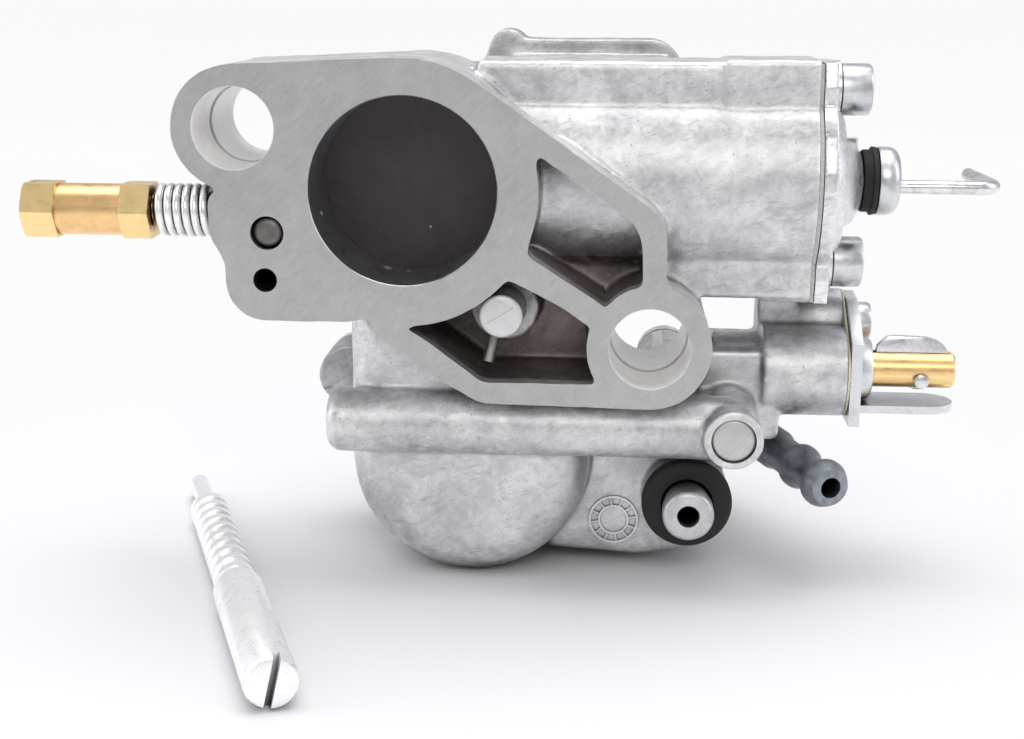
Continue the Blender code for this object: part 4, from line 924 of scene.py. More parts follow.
def hollows():
    """Bore, slide chamber and float bowl as one cutter."""
    bore = turned_y([(0, SEAT_Y + 3), (13.5, SEAT_Y + 3), (13.3, SEAT_Y + 0.2), (12.9, 40.0),
                     (12.55, 38.6), (12.3, 37.0), (12.1, 35.4), (BORE_R, 33.5), (BORE_R, 0.12),
                     (BORE_R + 0.13, -0.03), (BORE_R + 0.13, -2), (0, -2)], 0, BORE, 144)
    bowl = ([(BOWL_RIGHT - BOWL_WALL, -26.9), (BOWL_LEFT + BOWL_WALL, -26.9)]
            + arc(BOWL, BOWL_R - BOWL_WALL, 180, 360, 48))
    return join(bore,
                plate(d_section(SLIDE_Y, CHAMBER_R, 60), CHAMBER_X0, CHAMBER_X1 + 2, 'X'),
                plate(bowl, BOWL_Y0 + BOWL_WALL, BOWL_Y1 + 2))


def bolt_hole(centre):
    return turned_y([(0, SEAT_Y + 3), (BOLT_CLEAR, SEAT_Y + 3), (BOLT_CLEAR, LUG_LEN + 0.7),
                     (BOLT_R_REAR + 0.35, LUG_LEN + 0.7), (BOLT_R_REAR, LUG_LEN - 0.3),
                     (BOLT_R_REAR, 9.95), (BOLT_R + 0.38, 9.95), (BOLT_R + 0.38, 9.62),
                     (BOLT_R, 9.55), (BOLT_R, 0.08), (BOLT_R + 0.07, -0.02),
                     (BOLT_R + 0.07, -2), (0, -2)], 0, centre, 96)


def jet_well(centre, floor, radius):
    return turned_y([(0, SEAT_Y + 2), (radius + 0.4, SEAT_Y + 2), (radius + 0.4, SEAT_Y),
                     (radius, SEAT_Y - 0.4), (radius, floor), (0, floor)], 0, centre, 48)


def machining():
    """All cutters for the casting, in working order."""
    main_x, pilot_x = MAIN_WELL[0], PILOT_WELL[0]
    return [
        hollows(),
        bolt_hole(LUG_LEFT),
        bolt_hole(LUG_RIGHT),
        *(jet_well(*well) for well in WELLS),
        # passages that leave the main and pilot wells
        rod((main_x, 15.8, -15), (main_x, 15.8, -28.5), 1.2, segments=16),
        rod((pilot_x, 23.6, -18), (pilot_x, 23.6, -28.5), 0.9, segments=16),
        rod((main_x, 31.0, -15), (main_x - 5.5, 31.0, -9.0), 1.3, segments=16),
        rod_y(MAIN_WELL, 6.0, 10.5, 2.9, 64),
        # stepped mixture-screw hole
        rod_x(MIX, -26, -17.0, 2.35, 40),
        rod_x(MIX, -17.5, -14.2, 1.5, 24),
        rod_x(MIX, -14.4, -11.0, 0.6, 16),
        rod_y(MIX_PLUG, -2, 3.2, 2.16, 48),
        turned_y([(0, 14), (1.43, 14), (1.43, 0.12), (1.56, -0.01), (1.56, -2), (0, -2)],
                 0, FACE_HOLE, 40),
        rod_y(IDLE, 22, SEAT_Y + 2, 2.75, 48),
        rod_y(EAR_LEFT, 28.5, 38, 1.75, 24),
        rod_y(EAR_RIGHT, 28.5, 38, 1.75, 24),
        rod_y(BOSS, 0.0, 15.0, 2.95, 56),
        rod_y(STUB, 11.0, 17.2, 3.55, 48),
        rod_y(STUB, 16.8, 19.5, 1.5, 24),
        rod_x(PLUNGER, 42.2, 61, 4.0, 48),
        rod_x(STARTER_SCREW, 52.0, 61, 1.55, 24),
        # vent tube hole
        rod((11.4, 6.4, -18.9), (11.1, 6.2, -20.0), 0.95, segments=24),
        # progression holes in the bore floor, on the engine side of the slide
        rod((-3.3, 9.9, -9.8), (-3.3, 9.9, -13.6), 0.95, segments=24),
        rod((-0.6, 10.4, -10.6), (-0.6, 10.4, -13.8), 0.6, segments=20),
        # flat faces: flange, filter seat, chamber end, starter end, bowl
        box((-60, -30, -90), (95, 0, 70)),
        box((-60, SEAT_Y, -90), (95, 70, 70)),
        box((CHAMBER_X1, 2, -16.3), (95, 33, 30)),
        box((59.0, 8, -50), (95, 35, -10)),
        box((-40, BOWL_Y1, -80), (60, 39.5, -22.45)),
        *cover_screw_holes(43.0, 54, 1.85, 24),
    ]


def within(x, z, outline):
    """Which of the places (x, z) lie inside an outline."""
    hit = np.zeros(len(x), bool)
    for (x0, z0), (x1, z1) in zip(outline, outline[1:] + outline[:1]):
        crosses = (z0 > z) != (z1 > z)
        hit ^= crosses & (x < (x1 - x0) * (z - z0) / ((z1 - z0) or 1e-9) + x0)
    return hit


# Material slots of the casting after the plain cast skin in slot 0.
CASTING_LOOKS = (MILLED, BORED, HOLE, CAST_SHADED, HOLE_SHADE, SHADED_POCKET)
ON_MILLED, ON_BORED, ON_HOLE, ON_SHADED, ON_HOLE_SHADE, ON_SHADED_POCKET = range(1, 7)


def sort_faces(mesh):
    """Milled faces, the bore and the drilled holes get their own looks, and darker copies paint
    shade on the back faces, in the two pockets and inside small holes; later lines override
    earlier ones."""
    centres = read_vectors(mesh.polygons, "center") * 1000
    centres[:, 2] -= RISE
    x, y, z = centres.T
    normal_y = read_vectors(mesh.polygons, "normal")[:, 1]

    def off(centre):
        """Distance from an axis along Y."""
        return np.hypot(x - centre[0], z - centre[1])

    slots = np.zeros(len(x), np.int32)
    # Painted shade: faces towards the filter seat and the lower-left back take the shaded cast
    # copy.
    slots[(y > 34.2) & (z > -22)] = ON_SHADED
    slots[(y > 26.5) & (x < -7) & (z < -24)] = ON_SHADED
    # the two pockets beside and below the bore ring: painted shade over brown dirt on their walls
    # and floors
    main = off(MAIN_WELL)
    low = within(x, z, inset(lower_recess(), -0.5)) & (y < 14.3)
    slots[low & (y > 2.2) & (main > 4.7)] = ON_SHADED_POCKET
    # Painted shade: the post round the main plug takes the shaded cast copy.
    slots[low & (y > 0.9) & (main <= 4.7)] = ON_SHADED
    deep = ((z < -9.4) & (y > 8.6)) | ((y > 2.8) & (z < -7.0) & (np.abs(normal_y) < 0.6))
    upper = within(x, z, inset(upper_recess(), -0.5))
    slots[upper & deep & (y < POCKET_Y + 0.4)] = ON_SHADED_POCKET
    # flat faces
    slots[(np.abs(y) < 0.01) & (normal_y < -0.99)] = ON_MILLED
    for face_y in (SEAT_Y, BOWL_Y1):
        slots[(np.abs(y - face_y) < 0.01) & (normal_y > 0.99)] = ON_MILLED
    # bore wall and its flare at the filter end
    bore = off(BORE)
    slots[(bore < BORE_R + 0.4) & (y < 42) & (bore > BORE_R - 0.3)
          & (np.abs(normal_y) < 0.9)] = ON_BORED
    slots[(bore < 16.2) & (y > 33.4) & (y < 41.0) & (normal_y > -0.1) & (normal_y < 0.97)
          & (bore > 11.9)] = ON_BORED
    # drilled holes
    for lug in (LUG_LEFT, LUG_RIGHT):
        slots[(off(lug) < BOLT_CLEAR + 0.05) & (y > 0.001)] = ON_HOLE
    for centre, _, radius in WELLS:
        slots[(off(centre) < radius + 0.5) & (y > 24) & (y < 40.99)] = ON_HOLE
    # Painted shade: the insides of the small flange-face hole and of the oil stub are near black.
    slots[(off(FACE_HOLE) < 1.6) & (y > 0.001) & (y < 14.1)] = ON_HOLE_SHADE
    slots[(off(STUB) < 3.4) & (y > 16.0) & (y < 20.0)] = ON_HOLE_SHADE
    mesh.polygons.foreach_set("material_index", slots)
    mesh.update()


def build_casting():
    casting = body_blank()
    skin(casting, voxel=0.34, passes=9, wobble=0.10)
    join(casting, date_dial((27.5, -48.0), 15.5, 3.5), solver='MANIFOLD')
    cut(casting, *machining(), solver='MANIFOLD')
    place(casting, "carb_body", CAST, sharp=38, name="body_casting")
    for look in CASTING_LOOKS:
        casting.data.materials.append(look)
    sort_faces(casting.data)


build_casting()


# ============================================================ slide end
def wedge():
    """Sloping cutter for the filter-side corner of the slide's -X end."""
    bm = bmesh.new()
    bmesh.ops.create_cube(bm, size=1.0)
    bm.transform(Matrix.Translation((-13.5 * MM, 27.0 * MM, 0))
                 @ Matrix.Rotation(radians(38), 4, 'Z')
                 @ Matrix.Diagonal((22 * MM, 9 * MM, 34 * MM, 1)))
    return add(bm)


def build_slide():
    section = d_section(SLIDE_Y + SLIDE_CLEAR, CHAMBER_R - SLIDE_CLEAR, 48)
    slide = plate(section, SLIDE_X0, SLIDE_X1, 'X')
    cut(slide,
        rod_x(ROD, 4.0, SLIDE_X1 + 1, 5.0, 48),      # spring pocket
        rod_x(ROD, 0.0, 4.5, 1.1, 24),
        wedge(),
        # groove for the idle screw's tip
        box((-9.0, 21.2, IDLE[1] - 1.9), (IDLE[0] + 1.7, 27.0, IDLE[1] + 1.9)))
    place(slide, "throttle_slide", SLIDE, sharp=30)


def build_throttle_rod():
    """Wire that runs out along X and bends towards +Y."""
    bend_x, bend_r = 75.6, 2.4
    y, z = ROD
    points = [(0.6, y, z), (bend_x, y, z)]
    for i in range(1, 15):
        angle = radians(90 * i / 14)
        points.append((bend_x + bend_r * sin(angle), y + bend_r * (1 - cos(angle)), z))
    points.append((77.4, 34.5, z))
    place(wire(points, ROD_R, 6), "throttle_rod", STEEL_X, sharp=50, bevel=0.15)


def build_slide_spring():
    spring = coil((4.3, *ROD), (CHAMBER_X1 + 0.2, *ROD), 3.9, 0.5,
                  turns=10, per_turn=28, resolution=3)
    place(spring, "slide_spring", STEEL_X, sharp=60)
    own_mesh(spring)


def build_slide_gasket():
    gasket = plate(cover_section(-0.12), CHAMBER_X1 + 0.05, CHAMBER_X1 + 0.55, 'X')
    cut(gasket, plate(d_section(SLIDE_Y + 0.15, CHAMBER_R - 0.3, 16), 50, 56, 'X'),
        *cover_screw_holes(50, 56, 2.2))
    place(gasket, "slide_cover_gasket", PAPER)


def build_slide_cover():
    cover = plate(cover_section(0.1), CHAMBER_X1 + 0.6, 55.2, 'X')
    join(cover, *(rod_x(centre, 54.0, 57.0, 3.95, 56) for centre in COVER_SCREWS))
    dome = [(0, 4.75), (2.6, 4.7), (3.6, 4.5), (4.8, 3.9), (5.8, 3.45), (6.8, 3.0), (7.7, 2.55),
            (8.6, 2.0), (9.4, 1.4), (10.1, 0.75), (10.6, 0.2), (10.6, -0.6), (0, -0.6)]
    join(cover, turned_x(dome, 55.0, (18.0, SEAL[1]), 72),
         box((54.6, 24.3, -7.8), (60.1, 26.5, 7.1), 0.3, 1))
    skin(cover, voxel=0.2, passes=5, wobble=0.04)
    # mounting face, then the two screw seats
    cut(cover,
        box((40, 0, -40), (CHAMBER_X1 + 0.66, 50, 40)),
        box((56.68, 0, 5), (70, 50, 40)),
        box((56.68, 0, -40), (70, 50, -5)), solver='MANIFOLD')
    cut(cover, *cover_screw_holes(50, 62, 2.15), rod_x(ROD, 50, 62, 1.25))
    place(cover, "slide_cover", CAST_SMOOTH, sharp=38)


def build_rod_seal():
    seal = turned_x([(0, 61.75), (4.35, 61.75), (4.52, 61.65), (4.6, 61.4), (4.6, 61.05),
                     (4.3, 60.95), (4.2, 60.8), (4.2, 60.0), (4.1, 59.8), (0, 59.8)],
                    0, SEAL, 56)
    place(cut(seal, rod_x(ROD, 59, 63, 1.3)), "rod_seal", RUBBER)
    cap = turned_x([(0, 64.8), (2.9, 64.78), (3.6, 64.65), (4.15, 64.3), (4.5, 63.75),
                    (4.6, 63.2), (4.6, 62.05), (4.5, 61.87), (0, 61.87)], 0, SEAL, 64)
    place(cut(cap, rod_x(ROD, 61, 66, 1.25)), "rod_cap", ZINC_X)


def cap_screw(node, seat, head_r=3.5, head_h=4.2, shank_r=1.75, shank=11.0, socket=1.6, axis='X'):
    """Socket-head screw with a chamfered head and a rolled thread; 'seat' is
    the place under its head."""
    origin = Vector(seat)
    along = Vector((1, 0, 0)) if axis == 'X' else Vector((0, 1, 0))
    screw = turned([(0, head_h), (head_r - 0.5, head_h), (head_r - 0.2, head_h - 0.1),
                    (head_r, head_h - 0.45), (head_r, 0.15), (head_r - 0.15, 0), (shank_r, 0),
                    (shank_r, -1.2), (0, -1.2)], origin, along, 64)
    join(screw, threaded(shank_r, 0.22, 0.7, shank - 1.0, origin - along * shank, along, 32, 8))
    cut(screw,
        rod(origin + along * (head_h - 2.2), origin + along * (head_h + 1), socket, segments=6),
        rod(origin + along * (head_h - 0.35), origin + along * (head_h + 0.4),
            socket * 0.92, socket * 0.92 + 0.75))
    place(screw, node, ZINC_X if axis == 'X' else ZINC_Y, sharp=30)


build_slide()
build_throttle_rod()
build_slide_spring()
build_slide_gasket()
build_slide_cover()
build_rod_seal()
for end, centre in zip(("top", "bottom"), COVER_SCREWS):
    cap_screw("slide_cover_screw_" + end, (56.8, *centre))


# ============================================================ mixture screw
def hex_bar(x0, x1):
    """Hexagon bar, 7 mm across flats, with turned, chamfered ends."""
    corner = 7.0 / 2 / cos(radians(30))
    length = x1 - x0
    ring = rod_x(MIX, x0 - 1, x1 + 1, 8, 48)
    cut(ring, turned_x([(0, length + 0.5), (corner - 0.12, length + 0.5),
                        (corner - 0.10, length + 0.0), (corner + 0.06, length - 0.10),
                        (corner + 0.06, 0.26), (corner - 0.30, 0.0), (corner - 0.4, -0.5),
                        (0, -0.5)], x0, MIX, 96))
    return cut(rod_x(MIX, x0, x1, corner, 6, turn=pi / 6), ring)


def build_mixture_screw():
    screw = hex_bar(-50.4, -46.0)
    join(screw,
         turned_x([(0, 10.4), (3.36, 10.4), (3.38, 10.2), (3.38, 0.3), (3.36, 0.1), (3.36, 0.0),
                   (0, 0.0)], -46.6, MIX, 64),
         hex_bar(-37.4, -33.5),
         threaded(2.2, 0.3, 0.75, 16.4, (-34.4, *MIX), (1, 0, 0), 40),
         turned_x([(0, 4.0), (0.35, 4.0), (1.2, 0.6), (1.2, 0.0), (0, 0.0)], -18.6, MIX))
    cut(screw, box((-51, MIX[0] - 0.45, MIX[1] - 5), (-49.2, MIX[0] + 0.45, MIX[1] + 5)))
    place(screw, "mixture_screw", BRASS_X, sharp=30)
    spring = coil((-33.3, *MIX), (-25.05, *MIX), 2.98, 0.59, turns=6.0, per_turn=36, resolution=4)
    place(spring, "mixture_spring", SPRING, sharp=60)


build_mixture_screw()
place(turned_y([(0, 0.0), (0.8, -0.03), (1.4, -0.14), (1.8, -0.36), (2.03, -0.75), (2.05, -1.0),
                (2.05, -2.4), (0, -2.4)], 0.35, MIX_PLUG, 48, way=-1),
      "mixture_passage_plug",
      turned_look("dark_plug", (0.20, 0.19, 0.18), rough=(0.38, 0.52), fine=3.0, metal=0.85,
                  stain=0.4))


# ============================================================ idle screw
def long_screw(shoulder, thread, tip, slot_half_width, slot_floor):
    """Slotted screw built along +Z: tip at 0, thread, plain barrel to 81 mm.
    'shoulder' and 'tip' are (radius, height) profiles."""
    barrel = [(0, 81.0), (2.5, 81.0), (3.0, 80.85), (3.3, 80.3)] + shoulder
    screw = turned(barrel, (0, 0, 0), (0, 0, 1), 64)
    join(screw, thread, turned(tip, (0, 0, 0), (0, 0, 1)))
    return cut(screw, box((-slot_half_width, -4, slot_floor), (slot_half_width, 4, 82)))


def build_idle_screw():
    screw = long_screw(
        [(3.3, 35.9), (2.6, 34.8), (2.6, 34.0), (0, 34.0)],
        threaded(2.6, 0.46, 0.9, 28.8, (0, 0, 5.6), (0, 0, 1)),
        [(0, 6.2), (1.35, 6.2), (1.35, 0.6), (1.15, 0.2), (0.8, 0.0), (0, 0.0)], 0.5, 79.0)
    x, z = IDLE
    screw.data.transform(pose((x, 21.9, z), (0, 1, 0)))
    place(screw, "idle_screw", ZINC_Y, sharp=30)
    spring = coil((x, SEAT_Y + 0.1, z), (x, 56.6, z), 3.3, 0.5,
                  turns=7, per_turn=32, resolution=4)
    place(spring, "idle_spring", STEEL_Y, sharp=60)


build_idle_screw()


# ============================================================ plugs and stub
def build_main_plug():
    """Domed plug with a slanting scribed line across its face."""
    plug = turned_y([(0, 0.0), (2.35, 0.0), (2.6, -0.08), (2.8, -0.32), (2.8, -8.3), (0, -8.3)],
                    0.7, MAIN_WELL, 56, way=-1)
    scribe = box((-2.3, 0.55, -0.06), (1.9, 0.80, 0.06))
    middle = Matrix.Translation((MAIN_WELL[0] * MM, 0, (MAIN_WELL[1] + 0.3) * MM))
    scribe.data.transform(middle @ Matrix.Rotation(radians(-32), 4, 'Y'))
    place(cut(plug, scribe), "main_passage_plug",
          milled_look("plug_face", (0.62, 0.62, 0.62), sweep=-0.5))


build_main_plug()
place(turned_y([(0, 0.0), (2.5, 0.0), (2.72, -0.08), (2.85, -0.25), (2.85, -3.0), (0, -3.0)],
               1.65, BOSS, 56, way=-1),
      "oil_rail_plug", milled_look("rail_plug_face", (0.56, 0.555, 0.545), sweep=0.9))
place(wire([(11.35, 6.4, -19.2), (11.15, 5.95, -20.2), (10.9, 5.5, -21.3), (10.5, 4.8, -23.0)],
           0.75, 6),
      "vent_tube",
      turned_look("dull_steel", (0.42, 0.41, 0.40), 'Z', rough=(0.4, 0.55), fine=3.0, metal=0.9),
      sharp=50, bevel=0.1)
place(turned_y([(1.5, 12.4), (1.62, 12.5), (2.9, 12.5), (3.25, 12.3), (3.45, 11.9), (3.45, 9.4),
                (3.3, 8.9), (3.15, 8.6), (3.15, 6.4), (3.45, 6.0), (3.45, 0.2), (1.5, 0.2)],
               17.1, STUB, 64, way=-1), "oil_stub", DULL_ZINC)
place(turned_y([(3.6, 2.2), (5.2, 2.2), (5.75, 2.1), (6.08, 1.85), (6.2, 1.5), (6.2, 0.6),
                (6.0, 0.25), (5.7, 0.1), (3.6, 0.1)], 12.1, STUB, 72, way=-1),
      "oil_stub_seal", RUBBER)

# ============================================================ jets
# node, well, top y, bore radius, (radius, height below the top) profile
JETS = (
    ("air_corrector_jet", MAIN_WELL, 38.6, 0.75,
     [(0, 0), (2.8, 0), (3.15, -0.35), (3.15, -4.2), (2.0, -4.8), (2.0, -5.6), (0, -5.6)]),
    ("main_jet", MAIN_WELL, 16.9, 0.62,
     [(0, 0), (2.3, 0), (2.6, -0.3), (2.6, -3.2), (1.8, -3.5), (1.8, -6.0), (0, -6.0)]),
    ("pilot_jet", PILOT_WELL, 38.6, 0.4,
     [(0, 0), (2.1, 0), (2.35, -0.3), (2.35, -3.4), (1.6, -3.8), (1.6, -12.0), (1.1, -12.6),
      (0, -12.6)]),
    ("starter_jet", STARTER_WELL, 38.6, 0.45,
     [(0, 0), (2.2, 0), (2.45, -0.3), (2.45, -3.0), (1.6, -3.4), (1.6, -10.0), (0, -10.0)]),
)
JET_SLOT = 0.8                     # width of the screwdriver slot

for node, well, top, bore_r, profile in JETS:
    jet = turned_y(profile, top, well, 40)
    x, z = well
    cut(jet, rod_y(well, top + profile[-1][1] - 1, top + 1, bore_r, 24, turn=0.11),
        box((x - 5, top - 0.9, z - JET_SLOT / 2), (x + 5, top + 1, z + JET_SLOT / 2)))
    place(jet, node, BRASS_Y, sharp=30)
dress("emulsion_tube", BRASS_Y)


# ============================================================ float chamber
def build_float_cover():
    inlet_y = LID_Y1 + 0.4
    banjo_x, banjo_z = BANJO
    needle_x, needle_z = NEEDLE
    dome = [(0, 2.6), (9.0, 2.6), (10.4, 2.35), (11.4, 1.7), (12.4, 0), (12.4, -1.0), (0, -1.0)]
    cover = plate(float_cover_outline(), LID_Y0 - 0.6, LID_Y1)
    join(cover,
         turned_y(dome, LID_Y1, BOWL, 72),
         rod((banjo_x, inlet_y, banjo_z), (needle_x + 1, inlet_y, needle_z), 3.0, segments=40),
         rod_y(NEEDLE, LID_Y0 + 1, LID_Y1 + 4.0, 5.0, 48),
         rod_y(BANJO, LID_Y0 + 1, LID_Y1 + 4.0, 5.6, 56))
    skin(cover, voxel=0.26, passes=6, wobble=0.06)
    cut(cover, box((-40, 20, -80), (70, LID_Y0, 20)), solver='MANIFOLD')
    for x in (BOWL[0] - 5.6, BOWL[0] + 5.6):                       # hinge posts
        join(cover, box((x - 1.1, 31.0, HINGE[1] - 2.0), (x + 1.1, LID_Y0 + 0.5, HINGE[1] + 1.8),
                        0.2, 1), solver='MANIFOLD')
    cut(cover,
        rod_y(EAR_LEFT, 30, 45, 2.15),
        rod_y(EAR_RIGHT, 30, 45, 2.15),
        rod_y(NEEDLE, 30, LID_Y1 + 1.0, 3.1, 40),
        rod_y(BANJO, LID_Y0 + 1.4, 50, 3.0, 40),
        rod((banjo_x, inlet_y, banjo_z), (needle_x, inlet_y, needle_z), 1.1, segments=20),
        rod_x(HINGE, BOWL[0] - 8, BOWL[0] + 8, 0.85, 24), solver='MANIFOLD')
    place(cover, "float_cover", CAST_SMOOTH, sharp=38)


build_float_cover()
dress("float_cover_gasket", PAPER)
for side, (ear_x, ear_z) in (("left", EAR_LEFT), ("right", EAR_RIGHT)):
    cap_screw("float_cover_screw_" + side, (ear_x, LID_Y1 + 0.1, ear_z), head_r=3.3, head_h=2.6,
              shank_r=1.6, shank=8.0, socket=1.4, axis='Y')
dress("float_pin", STEEL_X)
dress("float", FLOAT)
dress("needle_seat", BRASS_Y)
dress("float_needle", STEEL_Y)

# ============================================================ fuel inlet
# (radius, distance back from the mouth) along the hose end
HOSE_END = [(0, 0), (2.3, 0), (2.6, 0.15), (3.15, 1.3), (3.35, 1.9), (3.35, 2.5), (2.8, 3.3),
            (2.55, 3.7), (2.55, 7.2), (2.75, 7.8), (3.15, 8.7), (3.2, 9.0), (3.2, 9.6),
            (2.6, 10.3), (2.55, 10.6), (2.55, 15.6), (2.8, 16.4), (3.0, 17.0)]


def build_inlet():
    """Banjo ring with a pipe that leaves along +X and bends towards -Y."""
    pipe_y = LID_Y1 + 8.3
    centre = Vector((BANJO[0], pipe_y, BANJO[1]))
    mouth = Vector((56.6, 8.0, -40.2))
    along = Vector((0.34, -0.94, -0.03)).normalized()
    inlet = turned_y([(0, 6.7), (5.9, 6.7), (6.3, 6.45), (6.4, 6.1), (6.4, 0.6), (6.3, 0.25),
                      (5.9, 0.0), (0, 0.0)], LID_Y1 + 4.9, BANJO, 64)
    corner = mouth - along * ((mouth.y - pipe_y) / along.y)
    bend_start = Vector((corner.x - 2.4, pipe_y, centre.z))
    bend_end = corner + along * 4.6
    points = [centre + Vector((3.0, 0, 0))]
    for i in range(17):
        t = i / 16
        points.append(bend_start.lerp(corner, t).lerp(corner.lerp(bend_end, t), t))
    points.append(bend_end + along * 3.0)
    length = (mouth - bend_end).length
    profile = [(r, length - back) for r, back in HOSE_END] + [(3.0, 1.0), (0, 1.0)]
    join(inlet, wire(points, 2.5, 8), turned(profile, bend_end, along, 56))
    cut(inlet, rod_y(BANJO, LID_Y1 + 4, LID_Y1 + 13, 3.4, 48),
        rod(bend_end + along * 4.0, mouth + along, 1.45, segments=40))
    place(inlet, "fuel_inlet_banjo", GREY_ZINC)


def build_banjo_bolt():
    bolt = turned_y([(0, 4.8), (4.5, 4.8), (5.0, 4.6), (5.2, 4.2), (5.2, 0.0), (2.85, 0.0),
                     (2.85, -12.8), (2.3, -13.4), (0, -13.4)], LID_Y1 + 12.3, BANJO, 64)
    cut(bolt, rod_y(BANJO, LID_Y1 - 2.5, LID_Y1 + 9.0, 1.4))
    outside_hexagon = cut(rod_y(BANJO, LID_Y1 + 12.8, LID_Y1 + 18, 9.0, 48),
                          rod_y(BANJO, LID_Y1 + 12, LID_Y1 + 19, 5.3, 6))
    cross_hole = rod_x((LID_Y1 + 7.4, BANJO[1]), BANJO[0] - 4, BANJO[0] + 4, 0.9, 20)
    cut(bolt, outside_hexagon, cross_hole)
    place(bolt, "banjo_bolt", BRASS_Y, sharp=30)


build_inlet()
build_banjo_bolt()
for node, y, thickness in (("banjo_washer_inner", LID_Y1 + 4.1, 0.6),
                           ("banjo_washer_outer", LID_Y1 + 11.7, 0.5)):
    place(turned_y([(3.1, thickness), (5.2, thickness), (5.3, thickness - 0.1), (5.3, 0.1),
                    (5.2, 0.0), (3.1, 0.0)], y + 0.05, BANJO, 48),
          node, fibre_look(node + "_look", (0.42, 0.20, 0.12)))
dress("fuel_filter", WEAVE)


# ============================================================ starter
def lever_pin_hole(y0, y1):
    return rod_y(LEVER_PIN, y0, y1, 0.72, 24)


def build_starter_piston():
    y, z = PLUNGER
    piston = turned_x([(0, 3.4), (3.55, 3.4), (3.75, 3.2), (3.75, 0.2), (3.55, 0), (0, 0)],
                      43.0, PLUNGER, 56)
    join(piston, turned_x([(0, 28.3), (2.3, 28.3), (2.55, 28.0), (2.55, 0), (0, 0)],
                          46.0, PLUNGER, 56))
    cut(piston, rod_x(PLUNGER, 42.0, 44.0, 2.6),
        box((63.2, y - 0.75, z - 4), (75, y + 0.75, z + 4)),       # slot for the lever
        lever_pin_hole(y - 4, y + 4))
    place(piston, "starter_piston", BRASS_X, sharp=30)


def build_starter_spring():
    spring = coil((46.6, *PLUNGER), (59.35, *PLUNGER), 3.15, 0.35,
                  turns=5.5, per_turn=28, resolution=3)
    place(spring, "starter_spring", STEEL_X, sharp=60)
    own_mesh(spring)


def build_starter_gasket():
    outline = arc(STARTER_BOSS, 6.3, 145, 340, 30) + arc(STARTER_SCREW, 4.6, -20, 130, 16)
    gasket = plate(outline, 59.1, 59.4, 'X')
    cut(gasket, rod_x(PLUNGER, 58, 60, 4.1, 40), rod_x(STARTER_SCREW, 58, 60, 1.8, 24))
    place(gasket, "starter_gasket", CREAM)


def build_starter_bracket():
    outline = [(15.2, -33.6), (25.8, -33.6), (31.4, -24.5), (31.4, -20.2), (28.2, -16.9),
               (22.5, -17.4), (15.2, -22.0)]
    collar = [(0, 2.2), (4.0, 2.2), (4.25, 1.9), (4.6, 0.3), (4.6, 0.0), (0, 0)]
    # level tab along the bottom, drawn as (x, y) and laid flat
    tab = plate([(60.2, 17.2), (70.6, 17.2)] + arc((70.6, 21.1), 3.9, -90, 90, 28)
                + [(60.2, 25.0)], -0.55, 0.55)
    lay_flat = Matrix(((1, 0, 0, 0), (0, 0, 1, 0), (0, -1, 0, 0), (0, 0, 0, 1)))
    tab.data.transform(Matrix.Translation((0, 0, -31.6 * MM)) @ lay_flat)
    bracket = plate(outline, 59.5, 61.0, 'X')
    join(bracket, turned_x(collar, 60.6, PLUNGER, 56), tab)
    cut(bracket, rod_x(PLUNGER, 58, 64, 2.7, 40), rod_x(STARTER_SCREW, 58, 64, 1.8, 24))
    place(bracket, "starter_bracket", ZINC_X, sharp=30, bevel=0.22, bevel_steps=3)


LEVER = [                          # starter lever outline (x, z)
    (63.6, -27.6), (63.5, -24.2), (63.75, -23.2), (64.3, -22.6), (65.0, -22.0), (65.9, -21.8),
    (70.6, -22.0), (71.9, -22.4), (72.8, -23.0), (73.4, -23.8), (73.7, -24.6), (73.5, -26.0),
    (72.0, -27.3), (71.4, -28.6), (70.9, -29.1), (70.4, -29.4), (69.0, -29.4), (68.3, -29.1),
    (67.8, -28.4)]

build_starter_piston()
build_starter_spring()
build_starter_gasket()
build_starter_bracket()
cap_screw("starter_bracket_screw", (61.1, *STARTER_SCREW), head_r=2.8, head_h=2.3, shank_r=1.4,
          shank=8.0, socket=1.3)
lever = plate(LEVER, PLUNGER[0] - 0.5, PLUNGER[0] + 0.5)
place(cut(lever, lever_pin_hole(18, 24)), "starter_lever", ZINC_Y, sharp=30, bevel=0.12)
place(turned_y([(0, 3.4), (0.8, 3.4), (0.95, 3.3), (1.0, 3.1), (1.0, 2.7), (0.62, 2.7),
                (0.62, -2.7), (0, -2.7)], PLUNGER[0], LEVER_PIN, way=-1),
      "starter_lever_pin", STEEL_Y)


# ============================================================ stage
def stage_look(name, seen, felt):
    """Table paper: 'seen' by the camera, 'felt' where metal mirrors it. Away
    from the part it fades to even white for the camera."""
    look = Look(name, rough=0.6, metal=0.0, in_mm=False)
    look.set("Specular IOR Level", 0.1)
    camera_ray = look.node("LightPath").outputs["Is Camera Ray"]
    around_part = look.mapped(scale=(1.0, 1.0, 0.35), shift=(-0.01, -0.02, 0.0))
    distance = look.node("VectorMath", {0: around_part}, operation='LENGTH').outputs["Value"]
    white = look.times(look.span(distance, between=(0.052, 0.15)), camera_ray)
    look.set("Emission Color", (0.94, 0.94, 0.945))
    look.set("Emission Strength", white)
    look.colour = look.mix(camera_ray, felt, seen)
    look.tint(white, (0.0, 0.0, 0.0))
    return look.finish()


